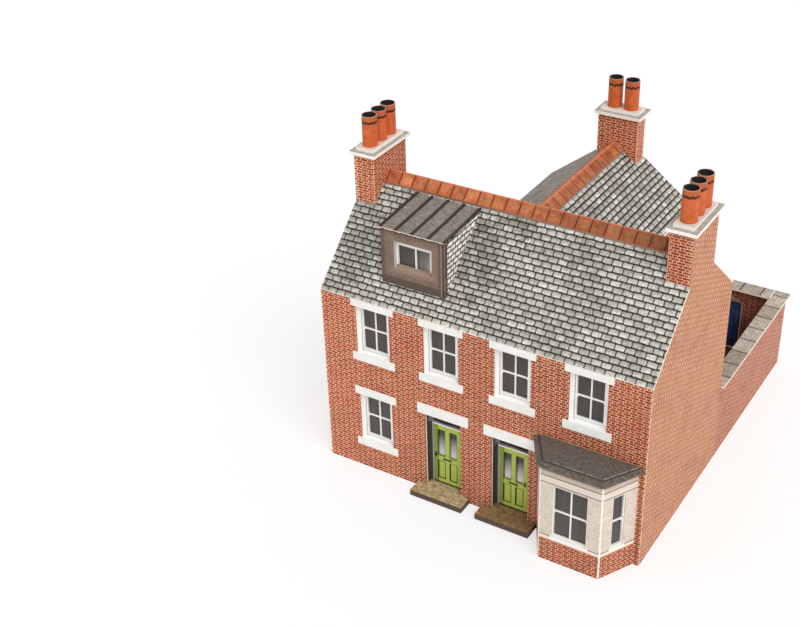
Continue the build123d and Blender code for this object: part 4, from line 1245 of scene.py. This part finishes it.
@dataclass
class SashWindow:
    """A hung sash: an upright bar, a meeting rail and the horns under its ends."""

    middle: float
    glass_low: float
    glass_high: float
    glass_half: float
    divided: bool = True
    bar: float = 0.55
    rail: float = 0.6
    rail_step: float = 0.06
    depth: float = 0.4
    horn: float = 0.5
    chamfer: float = 0.12

    def build(self, maker: MeshMaker, face: Facade) -> None:
        """Adds the bars to a mesh.

        Args:
            maker: The mesh that they join.
            face: The film's outer face.
        """
        left, right = self.middle - self.glass_half, self.middle + self.glass_half
        if self.divided:
            low = (self.middle - self.bar / 2, self.glass_low)
            high = (self.middle + self.bar / 2, self.glass_high)
            face.strip(maker, low, high, 0.0, self.depth, self.chamfer)
        foot = (self.glass_low + self.glass_high) / 2 - self.rail / 2
        front = self.depth + self.rail_step
        face.strip(maker, (left, foot), (right, foot + self.rail), 0.0, front, self.chamfer)
        for edge, reach in ((left, self.horn), (right, -self.horn)):
            shape = ((0.0, 0.0), (1.0, 0.0), (0.7, 0.35), (0.25, 0.65), (0.0, 0.75))
            horn = [face.at(edge + reach * share, foot - drop) for share, drop in shape]
            maker.prism(horn, face.out * self.depth)


def hang(name: str, white: bpy.types.Material, sashes: Sequence[tuple[SashWindow, Facade]]) -> None:
    """Makes one piece of white bars from sashes.

    Args:
        name: The piece's name.
        white: The white card.
        sashes: Each sash with the film's face that it is on.
    """
    maker = MeshMaker()
    for sash, face in sashes:
        sash.build(maker, face)
    maker.piece(name, white, "white_card")


@dataclass
class Walls:
    """Brick walls and gables of the house, the wing and the yards."""

    corner: Point = (61.0, -62.75)
    fold: str = "#F9D3BC"
    fold_width: float = 0.3
    gate_edges: tuple[float, ...] = (30.395, 44.195)
    gable_sheen_tints: Stops = ((0.0, "#8C3B26"), (0.5, "#9C472D"), (1.0, "#B05C3A"))

    def dress(self) -> None:
        """Puts the brick prints on the wall cards."""
        x, y = self.corner
        worn = {"folds": ((x, y), (-x, y)), "fold_colour": self.fold, "fold_width": self.fold_width}
        # The gables' bricks and mortar are drawn paler and lighter than the street wall's: painted sheen of
        # light glancing off the gables
        gables = PrintedBrick(
            cut_edge="#D9B59C",
            right_darkening=0.84,
            mortar="#EAA878",
            tints=self.gable_sheen_tints,
            burnt="#7C4034",
            courses=flemish_bond(joint=0.36, corner=0.24, wobble=0.12),
            **worn,
        )
        gables.dress("Red_brick_print_gables", "left_gable_wall", "right_gable_wall")
        street = StreetBrick(cut_edge="#F4F2EE", right_darkening=0.76, end_print=gables, **worn)
        street.dress("Red_brick_print_street_wall", "front_wall")
        sides = PrintedBrick(printed=Printed.SIDE, cut_edge="#F0EDE7")
        sides.dress("Red_brick_print_wing_sides", "wing_side_walls")
        back = PrintedBrick(printed=Printed.FRONT, cut_edge="#F0EDE7")
        back.dress("Red_brick_print_rear_walls", "rear_wall", "wing_rear_gable")
        yard = YardBrick(shaded_side=0.6, right_darkening=0.9, gate_edges=self.gate_edges, mortar="#EA9A7C")
        yard.dress("Red_brick_print_yard_walls", "yard_side_walls", "yard_rear_wall", "yard_dividing_wall")
        PlainCard(shade="#8A847C", cloud="#7A746C").dress("Grey_board_floor", "house_floor")


@dataclass
class Roofs:
    """Slate sheets and clay ridge tiles of the house and the wing."""

    wall_top: float = 70.62
    # The first three patches, right of the dormer, are painted shade from the dormer; the last two are
    # weather stains
    stains_and_shade: tuple[tuple[float, float, float, float], ...] = (
        (-7.0, -47.0, 8.0, 0.6),
        (-8.0, -40.0, 6.0, 0.6),
        (2.0, -35.5, 6.0, 0.75),
        (22.0, -52.0, 7.0, 0.12),
        (-54.0, -50.0, 11.0, 0.5),
    )
    lit_slates: Stops = ((0.0, "#9C9890"), (0.5, "#AEABA3"), (1.0, "#CBC8C0"))
    dim_slates: Stops = ((0.0, "#7C7168"), (0.5, "#8F857B"), (1.0, "#A39A90"))
    wing_clay: Stops = ((0.0, "#9A5C3C"), (0.5, "#A86844"), (1.0, "#B87850"))
    main_tile: Point = (5.1, -1.3)
    wing_tile: Point = (4.82, 3.88)

    def dress(self) -> None:
        """Puts the slate and ridge prints on the roof cards."""
        main = PrintedSlate(cut_edge="#F7F1E9", stains_and_shade=self.stains_and_shade, eaves_top=self.wall_top)
        main.dress("Slate_print_main_roof", "main_roof_front", "main_roof_rear")
        courses = worn_slates(length=3.43, height=2.145, joint=0.38, straggle=0.24, wider_bed=0.24)
        # The wing's left slope is a darker copy of the right: painted shade on the slope turned from the
        # light
        lit = PrintedSlate(courses=courses, tints=self.lit_slates)
        lit.dress("Slate_print_wing_right", "wing_roof_right")
        dim = PrintedSlate(tints=self.dim_slates, joint_ink="#3A312C")
        dim.dress("Slate_print_wing_left", "wing_roof_left")
        for node, (tile, start), right_darkening, tints in (
            ("main_ridge_tiles", self.main_tile, 0.5, PrintedTiles.tints),
            ("wing_ridge_tiles", self.wing_tile, 1.0, self.wing_clay),
        ):
            courses = Coursing(tile, 400.0, 0.36, corner=0.3, shift=0.0, from_run=start, from_rise=-60.0)
            apex = cad(node)[1].z
            tiles = PrintedTiles(cut_edge="#8F7260", right_darkening=right_darkening, apex=apex, tints=tints, courses=courses)
            tiles.dress(f"Clay_print_{node}", node)


@dataclass
class Chimneys:
    """Brick stacks, stepped caps and paper pots."""

    stack_x: Point = (53.2, 61.0)
    stack_y: Point = (-38.65, -18.05)
    wing_x: Point = (-6.9, 8.7)
    wing_y: Point = (40.85, 48.55)
    fold: str = "#EDAF91"
    fold_width: float = 0.4
    cap_step: float = 1.1

    def dress(self) -> None:
        """Puts the brick, cap and clay prints on the chimneys."""
        gable_xs = [side * x for side in (-1, 1) for x in self.stack_x]
        for name, xs, ys, right_darkening in (
            ("gable_stacks", gable_xs, self.stack_y, 0.76),
            ("wing_stack", self.wing_x, self.wing_y, 1.0),
        ):
            corners = tuple((x, y) for x in xs for y in ys)
            brick = PrintedBrick(
                folds=corners, fold_colour=self.fold, fold_width=self.fold_width, right_darkening=right_darkening
            )
            brick.dress(f"Red_brick_print_{name}", name.replace("stack", "chimney_stack"))
        for node in ("gable_chimney_caps", "wing_chimney_cap"):
            top = cad(node)[1].z
            cap = SteppedCard(
                printed=Printed.ABOVE,
                cut_edge="#F6F2EB",
                shade="#B3AAA0",
                cloud="#8F867C",
                cloud_size=1.3,
                speckle=0.14,
                bands=(Band(top - self.cap_step / 2, top + 1.0, "#DACFC3", 0.84),),
            )
            cap.dress(f"Concrete_print_{node}", node)
        pots = PotPaper(top=cad("gable_chimney_pots")[1].z)
        pots.dress("Clay_paper_gable_pots", "gable_chimney_pots")
        top = cad("wing_chimney_pots")[1].z
        wing_pots = PotPaper(top=top, middle=(4.1, 44.7), spacing=(6.4, 200.0), mirrored=False)
        wing_pots.dress("Clay_paper_wing_pots", "wing_chimney_pots")


@dataclass
class FrontWindows:
    """Sash windows of the street front with their white trims."""

    xs: tuple[float, ...] = (-40.205, -13.402, 13.402, 40.205)
    upper: Point = (50.9, 67.2)
    ground_x: float = -40.205
    ground: Point = (14.1, 30.9)
    glass_half: float = 4.75

    def build(self, white: bpy.types.Material) -> None:
        """Builds the bars and dresses frames, trims and film.

        Args:
            white: The white card.
        """
        dress(white, "front_lintels_and_sills")
        FrameCard().dress("White_card_front_window_frames", "front_window_frames")
        film = WindowFilm(fade_from=20.0, fade_to=70.0, light="#463F3B", dark="#3B3532")
        film.dress("Clear_film_front_windows", "front_glazing")
        sashes = {f"upper_sash_bars_{i}": (x, *self.upper) for i, x in enumerate(self.xs, 1)}
        sashes["ground_sash_bars"] = (self.ground_x, *self.ground)
        for name, (x, low, high) in sashes.items():
            hang(name, white, [(SashWindow(x, low, high, self.glass_half), on_street("front_glazing"))])


@dataclass
class RearWindows:
    """Sash windows of the rear wall and the wing, like those of the street front."""

    rear_x: float = 44.5
    gable_x: float = 14.0
    side_ys: Point = (25.6, 35.95)
    ground_z: float = 22.25
    rear_z: float = 58.8
    wing_z: float = 56.8
    glass_half: float = 4.75
    rear_film_y: float = 1.85
    gable_film_y: float = 46.25
    side_film_x: float = 25.7
    glass_below: float = 7.9
    glass_above: float = 8.4

    def build(self, white: bpy.types.Material) -> None:
        """Builds the bars and dresses frames, trims and film.

        Args:
            white: The white card.
        """
        dress(white, "rear_window_frames", "rear_lintels_and_sills")
        film = WindowFilm(fade_from=15.0, fade_to=66.0, light="#463F3B", dark="#3B3532")
        film.dress("Clear_film_rear_windows", "rear_glazing")
        groups: dict[str, tuple[Facade, list[Point]]] = {}
        for name, y, reach, upper in (
            ("rear_wall", self.rear_film_y, self.rear_x, self.rear_z),
            ("wing_gable", self.gable_film_y, self.gable_x, self.wing_z),
        ):
            places = [(run, level) for run in (reach, -reach) for level in (upper, self.ground_z)]
            groups[name] = (Facade(YARD * y, LEFT, YARD), places)
        for name, side, along in (("wing_left", LEFT, STREET), ("wing_right", RIGHT, YARD)):
            runs = [along.y * y for y in self.side_ys]
            face = Facade(side * self.side_film_x, along, side)
            groups[name] = (face, list(zip(runs, (self.wing_z, self.ground_z))))
        for name, (face, places) in groups.items():
            sashes = [
                SashWindow(run, level - self.glass_below, level + self.glass_above, self.glass_half)
                for run, level in places
            ]
            hang(f"{name}_sash_bars", white, [(sash, face) for sash in sashes])


@dataclass
class FrontDoors:
    """The two green doors with their black letter plates and handles."""

    door_x: float = 13.005
    leaf_half: float = 5.45
    plate_z: float = 13.3
    plate_half: Point = (1.0, 0.2)
    studs: tuple[Point, ...] = ((-1.25, 0.42), (-0.55, 0.3), (0.0, 0.34), (0.55, 0.3), (1.25, 0.42))
    handle_z: float = 14.6
    handle_half: Point = (0.22, 1.0)
    knob: tuple[Point, ...] = ((0.18, 0.0), (0.14, 0.35), (0.36, 0.5), (0.3, 0.75))

    def build(self) -> None:
        """Builds the door furniture and dresses the doors."""
        DoorPrint().dress("Lime_green_print_doors", "front_doors")
        DoorFramePrint().dress("Grey_print_door_frames", "front_door_frames")
        film = WindowFilm(fade_from=15.0, fade_to=23.0, light="#D8D2D4", dark="#3B3432", streak=0.12)
        film.dress("Frosted_film_door_lights", "front_door_glazing")
        step = StepCard(
            printed=Printed.ABOVE,
            cut_edge="#54443A",
            shade="#C2AC88",
            cloud="#7E6E46",
            cloud_size=1.3,
            speckle=0.42,
            speckle_size=0.45,
        )
        step.dress("Mossy_stone_print_steps", "door_steps")
        black = PlainCard(shade="#171615", cloud="#201F1E", roughness=0.4).material("Black_painted_iron")
        face = on_street("front_doors")
        for side, name in ((-1, "left"), (1, "right")):
            maker = MeshMaker()
            x = side * self.door_x
            handle = x + side * (self.leaf_half - 1.0)
            for run, level, (half, tall), far, chamfer in (
                (x, self.plate_z, self.plate_half, 0.15, 0.05),
                (handle, self.handle_z, self.handle_half, 0.12, 0.04),
            ):
                low, high = (run - half, level - tall), (run + half, level + tall)
                face.strip(maker, low, high, 0.0, far, chamfer)
            for off, radius in self.studs:
                stud = [(radius, 0.0), (radius, 0.12), (radius * 0.5, 0.2)]
                maker.lathe(stud, face.at(x + off, self.plate_z), STREET)
            maker.lathe(self.knob, face.at(handle + side * 0.15, self.handle_z), STREET)
            maker.piece(f"door_furniture_{name}", black, "grey_card")


@dataclass
class BayWindow:
    """Canted bay: brick base, stonework with printed lines, sash windows and lead roof."""

    centre: float = 41.138
    front_half: float = 10.98
    wall_half: float = 17.605
    front_y: float = -75.05
    wall_y: float = -62.75
    glass: Point = (11.5, 31.3)
    front_glass_half: float = 5.8
    splay_glass_half: float = 2.0
    splay_mid: float = 6.8
    film_depth: float = 1.2
    fold_width: float = 0.66
    sill_z: float = 10.45
    sill_past: Point = (0.95, 0.85)

    def faces(self) -> list[tuple[Facade, float, float, bool]]:
        """Lists the three faces.

        Returns:
            For each, its outer face, the window's middle along it, the glass's half width and
            whether an upright bar divides it.
        """
        run, depth = self.wall_half - self.front_half, self.wall_y - self.front_y
        length = math.hypot(run, depth)
        front = Facade(Vector((self.centre, self.front_y, 0.0)), RIGHT, STREET)
        faces = [(front, 0.0, self.front_glass_half, True)]
        for side in (1, -1):
            corner = Vector((self.centre + side * self.front_half, self.front_y, 0.0))
            along = Vector((run, side * depth, 0.0)) / length
            out = Vector((side * depth, -run, 0.0)) / length
            splay = Facade(corner, along, out)
            faces.append((splay, side * self.splay_mid, self.splay_glass_half, False))
        return faces

    def build(self, white: bpy.types.Material) -> None:
        """Builds the bars and dresses the bay.

        Args:
            white: The white card.
        """
        corners = tuple((self.centre + side * self.front_half, self.front_y) for side in (-1, 1))
        brick = PrintedBrick(folds=corners, fold_colour="#F1ECE6", fold_width=self.fold_width, right_darkening=0.8)
        brick.dress("Red_brick_print_bay_base", "bay_base_wall")
        past, tall = self.sill_past
        stone = BayStone(
            printed=Printed.UPRIGHT,
            folds=corners,
            fold_colour="#F4F0EB",
            fold_width=self.fold_width,
            shade="#D9CBBD",
            cloud="#C9BBAD",
            cloud_size=2.6,
            speckle=0.13,
            sills=tuple(
                Framed(face.start.dot(face.right) + middle, self.sill_z, half + past, tall)
                for face, middle, half, _ in self.faces()
            ),
            line_width=0.36,
            line_ink="#2E2824",
            bands=(
                Band(9.0, 10.55, "#EADBCB", 0.95),
                Band(32.4, 35.2, "#E0D2C5", 0.7),
                Band(35.2, 37.0, "#C3AF9F", 0.8),
                # The darkest band, under the bay roof, is painted shadow
                Band(37.0, 40.0, "#8E7D70", 0.9),
            ),
            lines=(10.6, 32.45, 35.2),
        )
        stone.dress("Sandstone_print_bay", "bay_stonework")
        dress(white, "bay_window_frames")
        WindowFilm(fade_from=10.0, fade_to=32.0).dress("Clear_film_bay_windows", "bay_glazing")
        lead = SteppedCard(
            shade="#6A625A",
            cloud="#514B44",
            cloud_size=1.2,
            speckle=0.26,
            speckle_size=0.9,
            bands=(Band(40.05, 40.35, "#B7AEA4", 0.85, worn=0.46), Band(39.75, 40.0, "#2E2A27", 0.7)),
            roughness=0.5,
        )
        lead.dress("Lead_grey_print_bay_roof", "bay_roof")
        for index, (face, middle, half, divided) in enumerate(self.faces(), 1):
            sash = SashWindow(middle, *self.glass, half, divided)
            hang(f"bay_sash_bars_{index}", white, [(sash, face.behind(self.film_depth))])


@dataclass
class Dormer:
    """Roof dormer: brown boarded front, a two-light window, slated cheeks and a battened roof."""

    centre: float = -27.206
    half: float = 12.3
    glass: Point = (83.9, 92.9)
    head_rail: float = 91.3
    glass_half: float = 6.6
    bar_half: float = 0.3
    window_half: float = 7.2
    window: Point = (83.3, 93.5)
    stile: Point = (5.3, 6.6)
    batten_offs: tuple[float, ...] = (-12.214, -6.2, 0.0, 6.2, 12.214)
    batten_half: float = 0.6
    batten_ease: float = 0.12
    batten_height: float = 0.3
    roof_fall: float = 1.6
    lip_drop: float = 0.34
    cheek_tints: Stops = ((0.0, "#E0DED8"), (0.4, "#EFEEE9"), (1.0, "#FBFAF7"))

    def build(self, white: bpy.types.Material) -> None:
        """Builds the window bar and the battens and dresses the dormer.

        Args:
            white: The white card.
        """
        left, right = self.centre - self.half, self.centre + self.half
        level = sum(self.window) / 2
        board = DormerBoard(
            folds=((right, cad("dormer_front")[0].y),),
            fold_colour="#8F7867",
            fold_width=0.26,
            window=Framed(self.centre, level, self.window_half, self.window[1] - level),
            left=left,
            right=right,
        )
        board.dress("Brown_board_print_dormer_front", "dormer_front")
        slates = PrintedSlate(
            printed=Printed.SIDE,
            cut_edge="#8B7B6E",
            tints=self.cheek_tints,
            joint_ink="#2A2622",
            edge_shade=1.0,
            tail=(1.25, 0.84),
            courses=worn_slates(length=3.0, height=1.9, joint=0.4, straggle=0.2, wider_bed=0.1),
        )
        slates.dress("Slate_print_dormer_cheeks", "dormer_cheeks")
        roof_low, roof_high = cad("dormer_roof")
        run, eaves = roof_high.y - roof_low.y, roof_high.z - self.roof_fall
        roof = LippedCard(
            printed=Printed.ABOVE,
            cut_edge="#E2CDBC",
            shade="#8A827A",
            cloud="#6A635B",
            cloud_size=2.2,
            speckle=0.3,
            lip=(roof_low.y, eaves - self.lip_drop, self.roof_fall / run),
        )
        roof.dress("Zinc_grey_print_dormer_roof", "dormer_roof")
        sill = Band(82.0, 84.1, "#A08979", 0.95)
        frame_card = SteppedCard(shade="#F2F1EE", cloud="#E9E7E2", bands=(sill,))
        frame_card.dress("White_card_dormer_frame", "dormer_window_frame")
        sky = (self.centre + 0.3, self.centre + 6.0)
        film = WindowFilm(fade_from=84.0, fade_to=92.0, light="#4A433E", sky_from=sky)
        film.dress("Clear_film_dormer", "dormer_glazing")
        maker = MeshMaker()
        pane = on_street("dormer_glazing", self.centre)
        foot, head = self.glass
        for low, high, far in (
            ((-self.bar_half, foot), (self.bar_half, self.head_rail), 0.4),
            ((-self.glass_half, self.head_rail), (self.glass_half, head), 0.45),
            ((self.stile[0], foot), (self.stile[1], self.head_rail), 0.3),
        ):
            pane.strip(maker, low, high, 0.0, far, 0.1)
        maker.piece("dormer_window_bar", white, "white_card")
        maker = MeshMaker()
        wide, narrow = self.batten_half, self.batten_half - self.batten_ease
        for off in self.batten_offs:
            x = self.centre + off
            under = ((-wide, 0.0), (wide, 0.0))
            above = ((narrow, self.batten_height), (-narrow, self.batten_height))
            outline = [Vector((x + across, roof_low.y, eaves + up)) for across, up in under + above]
            maker.prism(outline, Vector((0.0, run, self.roof_fall)))
        batten = PlainCard(shade="#382C25", cloud="#2B211B", speckle=0.14)
        maker.piece("dormer_roof_battens", batten.material("Dark_brown_card_battens"), "brown_card")


@dataclass
class PlankDoor:
    """A plain plank door: upright planks, two strap hinges and a latch."""

    middle: float
    low: float
    high: float
    half: float
    planks: int = 7
    gap: float = 0.14
    thickness: float = 0.3
    hinge_shares: Point = (0.2, 0.8)
    hinge_half: float = 0.3
    sunk: float = 0.02
    latch: tuple[Point, ...] = ((0.45, 0.0), (0.45, 0.15), (0.2, 0.2), (0.2, 0.45), (0.4, 0.55), (0.3, 0.8))

    def build(self, planks: MeshMaker, iron: MeshMaker, face: Facade) -> None:
        """Adds the planks to one mesh and the ironwork to another.

        Args:
            planks: The mesh of the planks.
            iron: The mesh of the hinges and the latch.
            face: The leaf's outer face.
        """
        width = 2 * self.half / self.planks
        for index in range(self.planks):
            left = self.middle - self.half + index * width
            low, high = (left + self.gap / 2, self.low), (left + width - self.gap / 2, self.high)
            face.strip(planks, low, high, 0.0, self.thickness, 0.08)
        height = self.high - self.low
        near, far = self.thickness - self.sunk, self.thickness + 0.15
        start = self.middle - self.half + 0.3
        for share in self.hinge_shares:
            level = self.low + share * height
            low = (start, level - self.hinge_half)
            high = (start + 1.3 * self.half, level + self.hinge_half)
            face.strip(iron, low, high, near, far, 0.05)
        spot = face.at(self.middle + self.half - 1.2, self.low + 0.5 * height, near)
        iron.lathe(self.latch, spot, face.out)


@dataclass
class Yards:
    """Yard walls' copings, flags, gates, back doors and lintels."""

    side_pitch: float = 8.9
    side_from: float = 72.8
    rear_pitch: float = 8.1
    rear_from: float = 3.5
    stone: Stops = ((0.0, "#9A8E82"), (0.5, "#AEA294"), (1.0, "#C0B5A8"))
    flagstone_and_shade: Stops = ((0.0, "#574F47"), (0.5, "#655D54"), (1.0, "#736A5F"))
    gate_x: float = 37.295
    gate: tuple[float, float, float] = (2.8, 24.4, 6.9)
    back_door_y: float = 14.65
    back_door: tuple[float, float, float] = (1.4, 30.0, 5.5)
    back_door_planks: int = 6

    def floor_and_copings(self) -> None:
        """Dresses the flags and the walls' copings."""
        rear_low, rear_high = cad("yard_rear_coping")
        slabs = partial(
            PrintedTiles,
            cut_edge="#F4ECDF",
            tints=self.stone,
            joint_ink="#1C1713",
            patch="#BCB0A2",
            patch_size=1.4,
            speckle=0.3,
        )
        courses = partial(Coursing, joint=0.46, softness=0.06, corner=0.3, shift=0.0)
        side = slabs(
            courses=courses(400.0, self.side_pitch, from_run=-200.0, from_rise=self.side_from),
            seam=(rear_high.x + 0.2, rear_low.y),
        )
        side.dress("Stone_print_side_copings", "yard_side_copings", "yard_dividing_coping")
        rear = slabs(courses=courses(self.rear_pitch, 400.0, from_run=self.rear_from, from_rise=-200.0))
        rear.dress("Stone_print_rear_coping", "yard_rear_coping")
        # The flags are dark grey stone, drawn darker still as painted shade in the walled yard
        flags = PrintedTiles(
            printed=Printed.ALL,
            courses=Coursing(length=9.0, height=7.0, joint=0.3, corner=0.3, shift=0.4),
            tints=self.flagstone_and_shade,
            joint_ink="#2E2A25",
        )
        flags.dress("Flagstone_print_yard", "yard_floor")

    def build(self) -> None:
        """Builds the planks and ironwork and dresses the yards."""
        self.floor_and_copings()
        # Painted shade darkens the gates' and back doors' planks towards their foot
        foot = tuple(Band(0.0, high, "#14233C", 0.35) for high in (12.0, 7.0))
        blue = SteppedCard(shade="#2F5080", cloud="#1F3A62", cloud_size=3.0, speckle=0.14, bands=foot)
        blue = blue.dress("Dark_blue_print_planks", "yard_gates", "back_doors")
        lintel = PlainCard(shade="#8B8078", cloud="#766B63", speckle=0.1)
        lintel.dress("Stone_print_gate_lintels", "gate_lintels")
        iron = PlainCard(shade="#1B1A19", cloud="#252322", roughness=0.45)
        black = iron.material("Black_painted_gate_iron")
        gate_low, gate_high = cad("yard_gates")
        inside = Facade(YARD * gate_low.y, RIGHT, STREET)
        outside = Facade(YARD * gate_high.y, LEFT, YARD)
        leaf_x = cad("back_doors")[1].x
        doors: dict[str, list[tuple[PlankDoor, Facade]]] = {"gate": [], "back_door": []}
        for face in (inside, outside):
            doors["gate"] += [(PlankDoor(x, *self.gate), face) for x in (self.gate_x, -self.gate_x)]
        for side, along in ((LEFT, STREET), (RIGHT, YARD)):
            door = PlankDoor(along.y * self.back_door_y, *self.back_door, self.back_door_planks)
            doors["back_door"].append((door, Facade(side * leaf_x, along, side)))
        for name, group in doors.items():
            planks, ironwork = MeshMaker(), MeshMaker()
            for door, face in group:
                door.build(planks, ironwork, face)
            planks.piece(f"{name}_planks", blue, "blue_card")
            ironwork.piece(f"{name}_ironwork", black, "grey_card")


@dataclass
class Studio:
    """White studio: pale floor, soft key from the front right and an even surround."""

    key_from: tuple[float, float, float] = (0.55, -0.38, 0.74)
    key_strength: float = 1.7
    key_angle: float = 40.0
    surround: float = 0.76
    floor_size: float = 1.6
    floor_drop: float = 0.0002
    floor_glow: float = 0.62
    floor_grey: Colour = (0.9, 0.9, 0.9, 1.0)

    def build(self) -> None:
        """Builds the floor, the surround and the key light."""
        scene = bpy.context.scene
        scene.view_settings.view_transform = "Standard"
        scene.world = bpy.data.worlds.new("White_studio")
        tree = emptied(scene.world)
        add = partial(add_node, tree)
        plain = add("Background", {"Color": WHITE, "Strength": self.surround})
        white = add("Background", {"Color": WHITE, "Strength": 1.0})
        add("OutputWorld", [add("MixShader", [self.seen(tree), plain, white])])
        material = bpy.data.materials.new("White_floor_paper")
        tree = emptied(material)
        add = partial(add_node, tree)
        glow = add("Math", [self.seen(tree), self.floor_glow], operation="MULTIPLY")
        paper = add("BsdfDiffuse", {"Color": self.floor_grey})
        light = add("Emission", {"Color": WHITE, "Strength": 1.0})
        add("OutputMaterial", [add("MixShader", [glow, paper, light])])
        half = self.floor_size / 2
        mesh = bpy.data.meshes.new("studio_floor")
        corners = [(-half, -half, 0), (half, -half, 0), (half, half, 0), (-half, half, 0)]
        mesh.from_pydata(corners, [], [(0, 1, 2, 3)])
        mesh.materials.append(material)
        floor = bpy.data.objects.new("studio_floor", mesh)
        floor.location.z = -self.floor_drop
        scene.collection.objects.link(floor)
        lamp = bpy.data.lights.new("soft_key", "SUN")
        lamp.energy = self.key_strength
        lamp.angle = math.radians(self.key_angle)
        key = bpy.data.objects.new("soft_key", lamp)
        key.rotation_euler = Vector(self.key_from).to_track_quat("Z", "Y").to_euler()
        scene.collection.objects.link(key)

    @staticmethod
    def seen(tree: bpy.types.NodeTree) -> Any:
        """Finds the rays by which the camera, a gloss or a film sees the white.

        Args:
            tree: The node tree to add to.

        Returns:
            A value that is 1 for those rays.
        """
        path = add_node(tree, "LightPath").outputs
        first = add_node(tree, "Math", [path["Is Camera Ray"], path["Is Glossy Ray"]], operation="MAXIMUM")
        return add_node(tree, "Math", [first, path["Is Transmission Ray"]], operation="MAXIMUM")


@dataclass
class PhotoCamera:
    """The camera at the photograph's place and angle."""

    place: tuple[float, float, float] = (0.17783, -0.379303, 0.305246)
    look: tuple[float, float, float] = (-0.464429, 0.71114, -0.527813)
    roll: float = -2.079
    lens: float = 60.33
    sensor: float = 36.0
    clip_start: float = 0.01

    def build(self) -> None:
        """Creates the camera and makes it the scene's."""
        data = bpy.data.cameras.new("photo_camera")
        data.lens, data.sensor_width, data.clip_start = self.lens, self.sensor, self.clip_start
        camera = bpy.data.objects.new("photo_camera", data)
        camera.location = self.place
        turn = Vector(self.look).to_track_quat("-Z", "Y")
        turn = turn @ Quaternion((0.0, 0.0, 1.0), math.radians(self.roll))
        camera.rotation_euler = turn.to_euler()
        bpy.context.scene.collection.objects.link(camera)
        bpy.context.scene.camera = camera


def main() -> None:
    """Builds the studio and each part of the row in order."""
    logging.basicConfig(level=logging.INFO, format="%(message)s")
    PhotoCamera().build()
    Studio().build()
    white = PlainCard(shade="#EEEDE9", cloud="#E4E2DD", speckle=0.02).material("White_card_joinery")
    Walls().dress()
    Roofs().dress()
    Chimneys().dress()
    FrontWindows().build(white)
    RearWindows().build(white)
    FrontDoors().build()
    BayWindow().build(white)
    Dormer().build(white)
    Yards().build()
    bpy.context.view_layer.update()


if __name__ == "__main__":
    main()
